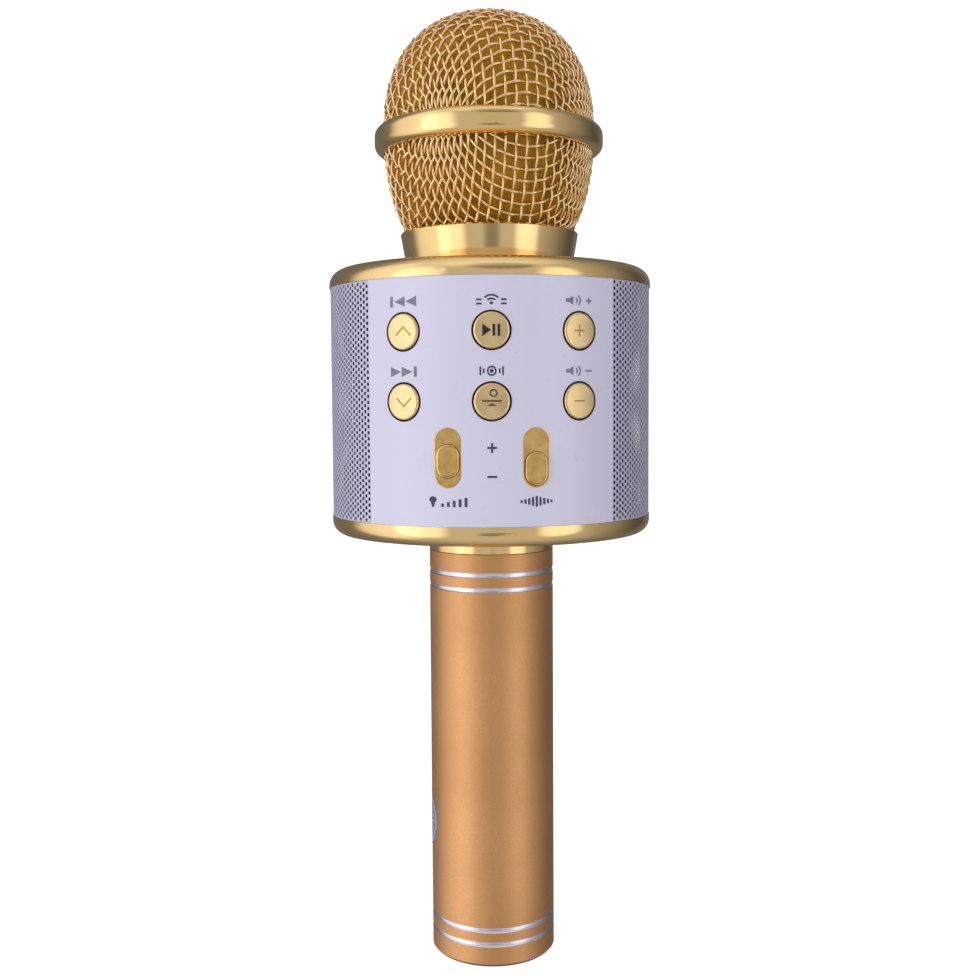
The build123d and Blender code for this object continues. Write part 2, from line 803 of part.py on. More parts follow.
# Each slider runs in a gilt tray. A strip on its stem hides the tray's slot from below.
tray_gap = 0.03
tray_wall = 0.17
tray_floor = 37.4
tray_floor_wall = 0.4
tray_slot_gap = 0.3
tray_slot_width = slide_stem_width + 2 * tray_slot_gap
tray_slot_length = slide_travel + slide_stem_length + 2 * tray_slot_gap
strip_gap = 0.1
strip_wall = 0.4
strip_width = 3.2
strip_front = tray_floor - tray_floor_wall - strip_gap
strip_length = tray_slot_length + slide_travel + strip_wall
knob_lift = 0.3
knob_proud = 0.5
knob_edge = 0.6
stem_foot = board_front + pot_slot_floor + 0.6
for hand, (x, knob_height) in sliders.items():
    with BuildPart() as slider_tray:
        with BuildSketch(Plane.XZ.offset(tray_floor - tray_floor_wall)):
            with Locations((x, slider_height)):
                SlotOverall(window_length - 2 * tray_gap, window_width - 2 * tray_gap, rotation=90)
        extrude(amount=barrel_radius)
        Cylinder(barrel_radius + seam, tall * 2, mode=Mode.INTERSECT)
        inset = 2 * (tray_gap + tray_wall)
        with BuildSketch(Plane.XZ.offset(tray_floor)):
            with Locations((x, slider_height)):
                SlotOverall(window_length - inset, window_width - inset, rotation=90)
        extrude(amount=barrel_radius, mode=Mode.SUBTRACT)
        with BuildSketch(Plane.XZ.offset(board_front)):
            with Locations((x, slider_height)):
                Rectangle(tray_slot_width, tray_slot_length)
        extrude(amount=barrel_radius, mode=Mode.SUBTRACT)
    save(slider_tray.part, f"{hand}_slider_tray")

    knob_back = tray_floor + knob_lift
    knob_front = depth_at(barrel_radius, x) + knob_proud
    with BuildPart() as slider_knob:
        with BuildSketch(Plane.XZ.offset(knob_back)):
            with Locations((x, knob_height)):
                SlotOverall(knob_length, knob_width, rotation=90)
        extrude(amount=knob_front - knob_back)
        fillet(slider_knob.faces().sort_by(Axis.Y)[0].edges(), knob_edge)
        with BuildSketch(Plane.XZ.offset(stem_foot)):
            with Locations((x, knob_height)):
                Rectangle(slide_stem_width, slide_stem_length)
        extrude(amount=knob_back - stem_foot)
        with BuildSketch(Plane.XZ.offset(strip_front - strip_wall)):
            with Locations((x, knob_height)):
                Rectangle(strip_width, strip_length)
        extrude(amount=strip_wall)
    save(slider_knob.part, f"{hand}_slider_knob")

# ---------------------------------------------------------------- head

collar_seat = 186.3
collar_bore = 21.45
collar_floor_bore = 17.5
collar_chamfer = 0.4
save(
    turned(
        [
            (collar_floor_bore, barrel_top + seam),
            (collar_foot_radius, barrel_top + seam),
            (collar_brim_radius, collar_top - collar_chamfer),
            (collar_brim_radius - collar_chamfer, collar_top),
            (collar_bore, collar_top),
            (collar_bore, collar_seat),
            (collar_floor_bore, collar_seat),
        ]
    ),
    "head_collar",
)

with BuildPart() as head_grille_lower:
    with BuildSketch(Plane.XZ):
        outer = bowl_curve(0.0, bowl_foot)
        inner = bowl_curve(mesh_wall, bowl_foot)
        with BuildLine():
            Spline(*outer)
            Line(outer[-1], inner[-1])
            Spline(*inner)
            Line(inner[0], outer[0])
        make_face()
    revolve(axis=Axis.Z)
save(head_grille_lower.part, "head_grille_lower")

with BuildPart() as head_grille_upper:
    with BuildSketch(Plane.XZ):
        outer = [(radius, height + 2 * seam) for radius, height in dome_curve(0.0)]
        inner = [(radius, height + 2 * seam) for radius, height in dome_curve(mesh_wall)]
        with BuildLine():
            Spline(*outer, tangents=[(0, 1), (-1, 0)])
            Line(outer[-1], inner[-1])
            Spline(*inner, tangents=[(0, 1), (-1, 0)])
            Line(inner[0], outer[0])
        make_face()
    revolve(axis=Axis.Z)
save(head_grille_upper.part, "head_grille_upper")

ring_bore = equator_radius + 0.06
ring_shoulder = ring_radius - ring_edge_radius
with BuildPart() as head_ring:
    with BuildSketch(Plane.XZ):
        with BuildLine():
            Line((ring_bore, ring_top), (ring_bore, ring_bottom))
            Line((ring_bore, ring_bottom), (ring_shoulder, ring_bottom))
            RadiusArc((ring_shoulder, ring_bottom), (ring_radius, ring_bottom + ring_edge_radius), -ring_edge_radius)
            Line((ring_radius, ring_bottom + ring_edge_radius), (ring_radius, ring_top - ring_edge_radius))
            RadiusArc((ring_radius, ring_top - ring_edge_radius), (ring_shoulder, ring_top), -ring_edge_radius)
            Line((ring_shoulder, ring_top), (ring_bore, ring_top))
        make_face()
    revolve(axis=Axis.Z)
save(head_ring.part, "head_ring")

with BuildPart() as foam_liner:
    with BuildSketch(Plane.XZ):
        skin = mesh_wall + foam_gap
        core = skin + foam_wall
        outer_bowl = bowl_curve(skin, bowl_foot)
        inner_bowl = bowl_curve(core, bowl_foot)
        outer_dome = dome_curve(skin)
        inner_dome = dome_curve(core)
        with BuildLine():
            Spline(*outer_bowl, *outer_dome[1:])
            Line(outer_dome[-1], inner_dome[-1])
            Spline(*inner_bowl, *inner_dome[1:])
            Line(inner_bowl[0], outer_bowl[0])
        make_face()
    revolve(axis=Axis.Z)
save(foam_liner.part, "foam_liner")

# The microphone capsule sits in a rubber cup on a hollow mast, screwed to the barrel's top.
mast_base = barrel_top + seam
mast_flange_radius = 15.5
mast_flange_wall = 2.0
mast_flange_top = mast_base + mast_flange_wall
mast_top = 200.0
mast_radius = 5.5
mast_bore = 3.5
capsule_radius = 9.0
capsule_bottom = 204.0
capsule_top = 218.0
cup_radius = 11.5
cup_depth = 9.0
with BuildPart() as capsule_mast:
    add(
        turned(
            [
                (mast_bore, mast_base),
                (mast_flange_radius, mast_base),
                (mast_flange_radius, mast_flange_top),
                (mast_radius, mast_flange_top),
                (mast_radius, mast_top),
                (mast_bore, mast_top),
            ]
        )
    )
    with BuildSketch(Plane.XY.offset(mast_base)):
        with PolarLocations(mast_screw_circle, 3, start_angle=90):
            Circle(mast_screw_radius + mouth_gap)
    extrude(amount=mast_flange_wall, mode=Mode.SUBTRACT)
save(capsule_mast.part, "capsule_mast")

mast_screw_tip = ceiling + 0.2
mast_screw_head_radius = 1.8
mast_screw_head_height = 1.2
with BuildPart() as mast_screws:
    with BuildSketch(Plane.XY.offset(mast_screw_tip)):
        with PolarLocations(mast_screw_circle, 3, start_angle=90):
            Circle(mast_screw_radius)
    extrude(amount=mast_flange_top + seam - mast_screw_tip)
    with BuildSketch(Plane.XY.offset(mast_flange_top + seam)):
        with PolarLocations(mast_screw_circle, 3, start_angle=90):
            Circle(mast_screw_head_radius)
    extrude(amount=mast_screw_head_height)
save(mast_screws.part, "mast_screws")

save(
    turned(
        [
            (mast_bore, mast_top + seam),
            (cup_radius, mast_top + seam),
            (cup_radius, capsule_bottom + cup_depth),
            (capsule_radius + seam, capsule_bottom + cup_depth),
            (capsule_radius + seam, capsule_bottom - seam),
            (mast_bore, capsule_bottom - seam),
        ]
    ),
    "capsule_cup",
)

capsule_edge = 1.0
capsule_hole_radius = 0.8
capsule_hole_depth = 0.8
with BuildPart() as mic_capsule:
    with Locations((0, 0, capsule_bottom)):
        Cylinder(
            capsule_radius,
            capsule_top - capsule_bottom,
            align=(Align.CENTER, Align.CENTER, Align.MIN),
        )
    fillet(mic_capsule.edges().filter_by(GeomType.CIRCLE).sort_by(Axis.Z)[-1], capsule_edge)
    with BuildSketch(Plane.XY.offset(capsule_top - capsule_hole_depth)):
        Circle(capsule_hole_radius)
        for circle, count in ((3.2, 6), (6.0, 12)):
            with PolarLocations(circle, count):
                Circle(capsule_hole_radius)
    extrude(amount=capsule_hole_depth, mode=Mode.SUBTRACT)
save(mic_capsule.part, "mic_capsule")

# ---------------------------------------------------------------- internal leads

lead_radius = 0.6


def lead(route, bend_radius):
    """An insulated wire along straight runs joined by tangent bends."""
    with BuildPart() as wire:
        with BuildLine() as path:
            FilletPolyline(*route, radius=bend_radius)
        with BuildSketch(Plane(origin=route[0], z_dir=Vector(*route[1]) - Vector(*route[0]))):
            Circle(lead_radius)
        sweep()
    return wire.part


lead_column = 2.0
lead_back = 22.0
lead_shelf = 119.5
battery_lead_bend = 2.4
lead_start = cell_top + 0.5
lead_end = port_board_bottom - 0.1
for side, name in ((-1, "battery_lead_negative"), (1, "battery_lead_positive")):
    x = side * lead_column
    route = [(x, 0, lead_start), (x, 0, lead_shelf), (x, lead_back, lead_shelf), (x, lead_back, lead_end)]
    save(lead(route, battery_lead_bend), name)

capsule_lead_shelf = 175.0
capsule_lead_front = 25.0
capsule_lead_bend = 3.0
capsule_route = [
    (0, 0, capsule_bottom - 0.1),
    (0, 0, capsule_lead_shelf),
    (0, -capsule_lead_front, capsule_lead_shelf),
    (0, -capsule_lead_front, board_top + 0.1),
]
save(lead(capsule_route, capsule_lead_bend), "capsule_lead")
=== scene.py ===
import json
import math

import bmesh
import bpy
import numpy as np
from mathutils import Matrix, Vector


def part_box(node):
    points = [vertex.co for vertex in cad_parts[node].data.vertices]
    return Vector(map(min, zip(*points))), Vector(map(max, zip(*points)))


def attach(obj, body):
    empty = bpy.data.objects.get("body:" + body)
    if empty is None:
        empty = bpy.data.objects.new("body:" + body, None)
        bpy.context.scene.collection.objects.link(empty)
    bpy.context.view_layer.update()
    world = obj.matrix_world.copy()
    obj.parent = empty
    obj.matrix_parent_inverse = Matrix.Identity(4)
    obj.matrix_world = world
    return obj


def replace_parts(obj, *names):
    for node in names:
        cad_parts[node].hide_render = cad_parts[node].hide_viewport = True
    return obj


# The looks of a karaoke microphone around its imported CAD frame. Lengths are metres, +Z runs up
# the handle's axis, and the control panel faces -Y.

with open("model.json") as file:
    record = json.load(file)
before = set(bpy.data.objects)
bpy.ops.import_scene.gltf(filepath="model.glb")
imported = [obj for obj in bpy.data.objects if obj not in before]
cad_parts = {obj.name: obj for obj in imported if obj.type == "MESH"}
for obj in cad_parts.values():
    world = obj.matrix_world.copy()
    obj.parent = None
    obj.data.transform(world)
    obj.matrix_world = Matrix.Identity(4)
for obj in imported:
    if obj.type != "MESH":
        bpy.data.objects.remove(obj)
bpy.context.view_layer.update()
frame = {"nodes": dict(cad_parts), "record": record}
NODES = frame["nodes"]
MM = 0.001


def corners(node):
    """A CAD node's lowest and highest corners in millimetres."""
    low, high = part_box(node)
    return Vector(low) / MM, Vector(high) / MM


# ---------------------------------------------------------------- camera

LENS = 45.79
SENSOR = 36.0
CAMERA_BACK = 0.327
CAMERA_HEIGHT = 0.1456
CAMERA_PITCH = 0.0688
CAMERA_ROLL = -0.0063
CAMERA_YAW = 0.0027
ORBIT = math.radians(-0.5)


def make_camera():
    """The viewing angle: straight on at the panel, a little above the barrel's middle."""
    data = bpy.data.cameras.new("camera")
    data.lens = LENS
    data.sensor_width = SENSOR
    data.clip_start = 0.01
    camera = bpy.data.objects.new("camera", data)
    bpy.context.scene.collection.objects.link(camera)
    place = Matrix.Translation((0, -CAMERA_BACK, CAMERA_HEIGHT))
    turn = Matrix.Rotation(CAMERA_YAW, 4, "Z") @ Matrix.Rotation(math.pi / 2 - CAMERA_PITCH, 4, "X")
    roll = Matrix.Rotation(CAMERA_ROLL, 4, "Z")
    camera.matrix_world = Matrix.Rotation(ORBIT, 4, "Z") @ place @ turn @ roll
    bpy.context.scene.camera = camera


# ---------------------------------------------------------------- materials


class Finish:
    """A Principled material whose colour, roughness and relief come from small patterns."""

    def __init__(self, name, colour, roughness, metallic=0.0, coat=0.0, **sockets):
        self.material = bpy.data.materials.new(name)
        self.material.use_nodes = True
        self.material.diffuse_color = (*colour, 1.0)
        self.tree = self.material.node_tree
        self.shader = self.tree.nodes["Principled BSDF"]
        self.colour = colour
        self.shader.inputs["Base Color"].default_value = (*colour, 1.0)
        self.shader.inputs["Roughness"].default_value = roughness
        self.shader.inputs["Metallic"].default_value = metallic
        self.shader.inputs["Coat Weight"].default_value = coat
        self.shader.inputs["Coat Roughness"].default_value = 0.05
        for socket, value in sockets.items():
            self.shader.inputs[socket.replace("_", " ")].default_value = value
        self.relief = None
        self.place = self.tree.nodes.new("ShaderNodeTexCoord").outputs["Object"]

    def node(self, kind, **settings):
        made = self.tree.nodes.new(kind)
        for key, value in settings.items():
            setattr(made, key, value)
        return made

    def link(self, source, target):
        self.tree.links.new(source, target)

    def stretched(self, scale):
        """The object's coordinates, scaled by a different amount along each axis."""
        mapping = self.node("ShaderNodeMapping")
        mapping.inputs["Scale"].default_value = scale
        self.link(self.place, mapping.inputs["Vector"])
        return mapping.outputs["Vector"]

    def noise(self, size_mm, detail=3.0, stretch=(1, 1, 1)):
        """Noise from 0 to 1 whose features are about size_mm across."""
        made = self.node("ShaderNodeTexNoise")
        made.inputs["Scale"].default_value = 1.0 / (size_mm * MM)
        made.inputs["Detail"].default_value = detail
        self.link(self.stretched(stretch), made.inputs["Vector"])
        return made.outputs["Fac"]

    def cells(self, size_mm, feature="F1"):
        """Distance to scattered points about size_mm apart."""
        made = self.node("ShaderNodeTexVoronoi", feature=feature)
        made.inputs["Scale"].default_value = 1.0 / (size_mm * MM)
        self.link(self.place, made.inputs["Vector"])
        return made.outputs["Distance"]

    def spread(self, source, low, high, start=0.3, end=0.7):
        """Maps a pattern's start..end to low..high."""
        made = self.node("ShaderNodeMapRange")
        made.inputs["From Min"].default_value = start
        made.inputs["From Max"].default_value = end
        made.inputs["To Min"].default_value = low
        made.inputs["To Max"].default_value = high
        self.link(source, made.inputs["Value"])
        return made.outputs["Result"]

    def tint(self, source, other, start=0.3, end=0.7):
        """Blends the base colour towards another one where the pattern is high."""
        made = self.node("ShaderNodeMix", data_type="RGBA")
        base = self.shader.inputs["Base Color"]
        if base.is_linked:
            self.link(base.links[0].from_socket, made.inputs["A"])
        else:
            made.inputs["A"].default_value = (*self.colour, 1.0)
        made.inputs["B"].default_value = (*other, 1.0)
        self.link(self.spread(source, 0.0, 1.0, start, end), made.inputs["Factor"])
        self.link(made.outputs["Result"], base)
        return self

    def polish(self, source, low, high, start=0.3, end=0.7):
        """Roughness follows a pattern."""
        self.link(self.spread(source, low, high, start, end), self.shader.inputs["Roughness"])
        return self

    def bump(self, source, height_mm, strength=1.0):
        """Adds relief height_mm deep."""
        made = self.node("ShaderNodeBump")
        made.inputs["Distance"].default_value = height_mm * MM
        made.inputs["Strength"].default_value = strength
        self.link(source, made.inputs["Height"])
        if self.relief is not None:
            self.link(self.relief, made.inputs["Normal"])
        self.relief = made.outputs["Normal"]
        self.link(self.relief, self.shader.inputs["Normal"])
        return self


GOLD = (0.92, 0.67, 0.31)
GOLD_DEEP = (0.87, 0.61, 0.26)


def polished_gold():
    gold = Finish("polished_gold", GOLD, 0.07, metallic=1.0)
    gold.tint(gold.noise(9, 2), GOLD_DEEP)
    gold.polish(gold.noise(2.5, 4), 0.05, 0.09)
    gold.bump(gold.noise(14, 1), 0.03, 0.3)
    return gold.material


def spun_gold():
    """A turned button cap: fine circles that catch the light in sectors."""
    gold = Finish("spun_gold", (0.86, 0.65, 0.34), 0.3, metallic=1.0)
    gold.shader.inputs["Anisotropic"].default_value = 0.7
    tangent = gold.node("ShaderNodeTangent", direction_type="RADIAL", axis="Y")
    gold.link(tangent.outputs["Tangent"], gold.shader.inputs["Tangent"])
    middle = gold.node("ShaderNodeMapping")
    middle.inputs["Location"].default_value = (-0.5, 0.0, -0.5)
    middle.inputs["Scale"].default_value = (1.0, 0.0, 1.0)
    gold.link(gold.node("ShaderNodeTexCoord").outputs["Generated"], middle.inputs["Vector"])
    turning = gold.node("ShaderNodeTexWave", wave_type="RINGS", rings_direction="SPHERICAL")
    turning.inputs["Scale"].default_value = 9.0
    turning.inputs["Distortion"].default_value = 0.4
    gold.link(middle.outputs["Vector"], turning.inputs["Vector"])
    gold.tint(gold.noise(0.35, 4, (1, 0.1, 1)), (0.78, 0.56, 0.27))
    gold.polish(turning.outputs["Fac"], 0.24, 0.38, 0.0, 1.0)
    gold.bump(turning.outputs["Fac"], 0.012, 0.5)
    gold.bump(gold.noise(0.12, 2), 0.006, 0.4)
    return gold.material


def tray_gold():
    gold = Finish("tray_gold", (0.84, 0.58, 0.22), 0.1, metallic=1.0)
    gold.tint(gold.noise(2.0, 3), (0.68, 0.42, 0.12))
    gold.polish(gold.noise(1.2, 3), 0.07, 0.16)
    return gold.material


def wire_gold():
    gold = Finish("wire_gold", (1.0, 0.74, 0.41), 0.24, metallic=1.0)
    gold.tint(gold.noise(1.6, 3), (0.93, 0.63, 0.30))
    gold.polish(gold.noise(0.5, 3), 0.18, 0.32)
    return gold.material


def anodised_handle():
    tube = Finish("anodised_handle", (0.66, 0.335, 0.125), 0.44, metallic=0.92, coat=0.45)
    tube.shader.inputs["Coat Roughness"].default_value = 0.3
    tube.tint(tube.noise(0.30, 3), (0.78, 0.42, 0.17))
    tube.tint(tube.noise(26, 2), (0.62, 0.31, 0.115), 0.35, 0.75)
    tube.polish(tube.noise(0.5, 4), 0.40, 0.54)
    tube.bump(tube.noise(0.24, 3), 0.022, 0.8)
    return tube.material


def bright_cut():
    cut = Finish("bright_cut", (0.84, 0.80, 0.84), 0.24, metallic=1.0)
    cut.tint(cut.noise(0.8, 2, (1, 1, 6)), (0.72, 0.68, 0.74))
    cut.bump(cut.noise(0.1, 2, (0.05, 0.05, 2)), 0.01, 0.4)
    return cut.material


def white_panel():
    white = Finish("white_panel", (0.76, 0.74, 0.90), 0.3, coat=0.25)
    white.tint(white.noise(30, 2), (0.78, 0.76, 0.915))
    white.polish(white.noise(6, 3), 0.26, 0.34)
    white.bump(white.noise(3.0, 2), 0.003, 0.1)
    return white.material


def grille_paint():
    paint = Finish("grille_paint", (0.66, 0.66, 0.82), 0.42, metallic=0.3)
    paint.tint(paint.noise(2.0, 3), (0.61, 0.61, 0.78))
    paint.polish(paint.noise(1.4, 3), 0.34, 0.5)
    paint.bump(paint.noise(0.25, 2), 0.008, 0.4)
    return paint.material


def black_moulding():
    black = Finish("black_moulding", (0.010, 0.010, 0.013), 0.6)
    black.tint(black.noise(4, 3), (0.016, 0.016, 0.020))
    black.polish(black.noise(1.0, 3), 0.5, 0.7)
    black.bump(black.cells(0.4), 0.01, 0.5)
    return black.material


def foam():
    sponge = Finish("foam", (0.64, 0.345, 0.014), 0.95)
    sponge.tint(sponge.cells(0.9), (0.38, 0.19, 0.010), 0.15, 0.5)
    sponge.tint(sponge.noise(5, 3), (0.70, 0.39, 0.02))
    sponge.bump(sponge.cells(0.55), 0.12, 0.7)
    return sponge.material


def simple(name, colour, roughness, metallic=0.0, grain=0.5, shade=0.75):
    """A moulded or plated finish with a fine grain and a slight change of shade."""
    made = Finish(name, colour, roughness, metallic)
    made.tint(made.noise(grain * 6, 3), tuple(c * shade for c in colour))
    made.polish(made.noise(grain * 2, 3), roughness * 0.8, min(roughness * 1.25, 1.0))
    made.bump(made.noise(grain, 2), 0.01, 0.4)
    return made.material


def foil_badge():
    foil = Finish("foil_badge", (0.80, 0.80, 0.88), 0.36, metallic=0.7)
    foil.tint(foil.noise(0.9, 3), (0.62, 0.63, 0.74))
    foil.polish(foil.noise(0.6, 3), 0.3, 0.45)
    return foil.material


def circuit_board():
    board = Finish("circuit_board", (0.02, 0.16, 0.06), 0.35, coat=0.4)
    board.tint(board.cells(1.6, "DISTANCE_TO_EDGE"), (0.05, 0.26, 0.11), 0.02, 0.08)
    board.bump(board.noise(0.6, 2), 0.01, 0.5)
    return board.material


def print_ink(name, colour):
    ink = Finish(name, colour, 0.5)
    ink.tint(ink.noise(0.5, 3), tuple(min(c * 1.35 + 0.01, 1.0) for c in colour))
    return ink.material


# ---------------------------------------------------------------- mesh helpers


def new_object(name, mesh, *materials, body="body", slot=None):
    """Links a finished mesh as a piece that rides on a body."""
    piece = bpy.data.objects.new(name, mesh)
    bpy.context.scene.collection.objects.link(piece)
    for material in materials:
        mesh.materials.append(material)
    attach(piece, body)
    return piece


def mesh_from(name, vertices, faces, smooth=True):
    """A mesh from vertices in millimetres."""
    mesh = bpy.data.meshes.new(name)
    mesh.from_pydata((np.asarray(vertices, float) * MM).tolist(), [], faces)
    mesh.update()
    if smooth:
        mesh.shade_smooth()
    return mesh


def lathe(name, outline, steps=192, materials_by_span=None):
    """Turns a closed (radius, height) outline about the axis.

    materials_by_span gives the material index for the band that starts at each outline corner.
    """
    count = len(outline)
    vertices = []
    for step in range(steps):
        angle = 2 * math.pi * step / steps
        for radius, height in outline:
            vertices.append((radius * math.sin(angle), -radius * math.cos(angle), height))
    faces = []
    spans = []
    for step in range(steps):
        here, there = step * count, ((step + 1) % steps) * count
        for i in range(count):
            j = (i + 1) % count
            faces.append((here + i, there + i, there + j, here + j))
            spans.append(i)
    mesh = mesh_from(name, vertices, faces)
    if materials_by_span:
        for polygon, span in zip(mesh.polygons, spans):
            polygon.material_index = materials_by_span(span)
    return mesh


# ---------------------------------------------------------------- woven wire head

WIRE_RADIUS = 0.37
WIRE_SIDES = 6
STEPS_PER_CELL = 4
PITCH = 2.73
WEAVE_AZIMUTH = math.radians(20)
WIRE_LIFT = 1.02
WIRE_INSET = 0.45
SEARCH_STEPS = 40
LONGEST_LINE = 40


class Ball:
    """The head's surface of revolution: one superellipse above its equator and one below."""

    EQUATOR_HEIGHT = 215.3
    EQUATOR_RADIUS = 27.04
    ABOVE = (29.56, 2.31)
    BELOW = (38.28, 2.287)

    def __init__(self, inset):
        self.inset = inset
        self.radius = self.EQUATOR_RADIUS - inset

    def half(self, height):
        span, exponent = self.ABOVE if height > self.EQUATOR_HEIGHT else self.BELOW
        return span - self.inset, exponent

    def outside(self, point):
        """Above 0 outside the surface and below 0 inside it."""
        span, exponent = self.half(point[2])
        across = math.hypot(point[0], point[1]) / self.radius
        along = abs(point[2] - self.EQUATOR_HEIGHT) / span
        return across**exponent + along**exponent - 1

    def ring(self, height):
        """The surface's radius at a height."""
        span, exponent = self.half(height)
        along = min(abs(height - self.EQUATOR_HEIGHT) / span, 1.0)
        return self.radius * (1 - along**exponent) ** (1 / exponent)

    def normal(self, point):
        span, exponent = self.half(point[2])
        across = max(math.hypot(point[0], point[1]), 1e-9)
        rise = point[2] - self.EQUATOR_HEIGHT
        out = exponent * (across / self.radius) ** (exponent - 1) / self.radius
        up = math.copysign(exponent * (abs(rise) / span) ** (exponent - 1) / span, rise)
        found = np.array([out * point[0] / across, out * point[1] / across, up])
        return found / np.linalg.norm(found)


def fishnet(ball, pole_sign, stop):
    """Nodes of a square-cell cloth pressed over the ball from one pole, over one quadrant.

    Each new node lies one pitch from its two neighbours, on the surface. stop is the height
    past which no node is needed.
    """

    def meet(a, b, behind):
        middle = (a + b) / 2
        half_gap = np.linalg.norm(b - a) / 2
        if half_gap >= PITCH:
            return None
        reach = math.sqrt(PITCH**2 - half_gap**2)
        across = (b - a) / (2 * half_gap)
        ahead = middle - behind
        ahead -= across * (ahead @ across)
        ahead /= np.linalg.norm(ahead)
        lift = np.cross(across, ahead)
        if lift @ ball.normal(middle) < 0:
            lift = -lift
        low, high = -1.35, 1.35
        for _ in range(SEARCH_STEPS):
            angle = (low + high) / 2
            point = middle + reach * (math.cos(angle) * ahead + math.sin(angle) * lift)
            if ball.outside(point) > 0:
                high = angle
            else:
                low = angle
        return point

    def meridian(direction):
        """Nodes one pitch apart down a meridian, starting at the pole."""
        span = ball.half(ball.EQUATOR_HEIGHT + pole_sign)[0]
        pole = np.array([0.0, 0.0, ball.EQUATOR_HEIGHT + pole_sign * span])
        line = [pole]
        heading = np.array([math.cos(direction), math.sin(direction), 0.0])
        while (line[-1][2] - stop) * pole_sign > -PITCH and len(line) < LONGEST_LINE:
            here = line[-1]
            up = ball.normal(here)
            ahead = heading if len(line) == 1 else here - line[-2]
            ahead = ahead - up * (ahead @ up)
            ahead /= np.linalg.norm(ahead)
            low, high = -1.4, 1.4
            for _ in range(SEARCH_STEPS):
                angle = (low + high) / 2
                point = here + PITCH * (math.cos(angle) * ahead + math.sin(angle) * up)
                if ball.outside(point) > 0:
                    high = angle
                else:
                    low = angle
            line.append(point)
        return line

    first = meridian(0.0)
    second = meridian(math.pi / 2)
    grid = {(i, 0): point for i, point in enumerate(first)}
    grid.update({(0, j): point for j, point in enumerate(second)})
    limit = max(len(first), len(second)) + 12
    for total in range(2, 2 * limit):
        for i in range(1, total):
            j = total - i
            needed = [(i - 1, j), (i, j - 1), (i - 1, j - 1)]
            if any(key not in grid for key in needed):
                continue
            a, b, behind = (grid[key] for key in needed)
            if (max(a[2] * pole_sign, b[2] * pole_sign)) < stop * pole_sign - PITCH:
                continue
            point = meet(a, b, behind)
            if point is not None:
                grid[(i, j)] = point
    return grid


def whole_net(quadrant):
    """Mirrors one quadrant's nodes into all four."""
    net = {}
    for (i, j), point in quadrant.items():
        for si in (1, -1):
            for sj in (1, -1):
                net[(i * si, j * sj)] = np.array([point[0] * si, point[1] * sj, point[2]])
    return net


def wires_of(net, ball):
    """Wires through the net in both directions, each going over and under the ones it crosses."""
    wires = []
    for lengthways in (0, 1):
        lines = sorted({key[1 - lengthways] for key in net})
        for line in lines:
            keys = sorted(key for key in net if key[1 - lengthways] == line)
            run = []
            for key in keys:
                if run and key[lengthways] != run[-1][lengthways] + 1:
                    wires.append((lengthways, run))
                    run = []
                run.append(key)
            wires.append((lengthways, run))
    paths = []
    for lengthways, run in wires:
        if len(run) < 2:
            continue
        points = []
        for key in run:
            over = 1 if (key[0] + key[1]) % 2 == 0 else -1
            if lengthways:
                over = -over
            points.append(net[key] + ball.normal(net[key]) * over * WIRE_RADIUS * WIRE_LIFT)
        paths.append(smooth_path(points))
    return paths


def smooth_path(points):
    """A Catmull-Rom line through the points."""
    points = [2 * points[0] - points[1], *points, 2 * points[-1] - points[-2]]
    made = []
    for before, a, b, after in zip(points, points[1:], points[2:], points[3:]):
        for step in range(STEPS_PER_CELL):
            t = step / STEPS_PER_CELL
            made.append(
                0.5
                * (
                    2 * a
                    + (b - before) * t
                    + (2 * before - 5 * a + 4 * b - after) * t**2
                    + (3 * a - before - 3 * b + after) * t**3
                )
            )
    made.append(points[-2])
    return made


def clipped(path, low, high):
    """The stretches of a path between two heights, cut exactly at them."""
    parts, part = [], []
    for a, b in zip(path, path[1:]):
        inside_a = low <= a[2] <= high
        inside_b = low <= b[2] <= high
        if inside_a and not part:
            part.append(a)
        if inside_a != inside_b:
            edge = low if min(a[2], b[2]) < low else high
            cut = a + (b - a) * (edge - a[2]) / (b[2] - a[2])
            part.append(cut)
            if inside_a:
                parts.append(part)
                part = []
        if inside_b:
            part.append(b)
    if len(part) > 1:
        parts.append(part)
    return [part for part in parts if len(part) > 2]


def tubes(name, paths, radius, sides):
    """One mesh of round wires, with their own texture strips so that a wire unrolls flat."""
    vertices, faces, coordinates = [], [], []
    rows = len(paths)
    longest = max(len(path) for path in paths)
    for row, path in enumerate(paths):
        path = np.array(path)
        start = len(vertices)
        ahead = np.gradient(path, axis=0)
        ahead /= np.linalg.norm(ahead, axis=1, keepdims=True)
        side = np.cross(ahead[0], [0.0, 0.0, 1.0])
        if np.linalg.norm(side) < 1e-3:
            side = np.cross(ahead[0], [1.0, 0.0, 0.0])
        for k, (point, direction) in enumerate(zip(path, ahead)):
            side = side - direction * (side @ direction)
            side /= np.linalg.norm(side)
            up = np.cross(direction, side)
            for s in range(sides):
                angle = 2 * math.pi * s / sides
                vertices.append(point + radius * (math.cos(angle) * side + math.sin(angle) * up))
        low, high = row / rows, (row + 0.9) / rows
        for k in range(len(path) - 1):
            for s in range(sides):
                a = start + k * sides + s
                b = start + k * sides + (s + 1) % sides
                faces.append((a, a + sides, b + sides, b))
                left, right = k / longest, (k + 1) / longest
                bottom = low + (high - low) * s / sides
                top = low + (high - low) * (s + 1) / sides
                coordinates += [(left, bottom), (right, bottom), (right, top), (left, top)]
        for ring, flip in ((start, False), (start + (len(path) - 1) * sides, True)):
            loop = [ring + s for s in range(sides)]
            faces.append(loop[::-1] if flip else loop)
            coordinates += [(low, low)] * sides
    mesh = mesh_from(name, vertices, faces)
    layer = mesh.uv_layers.new(name="OFBake")
    layer.data.foreach_set("uv", np.array(coordinates, np.float32).ravel())
    return mesh


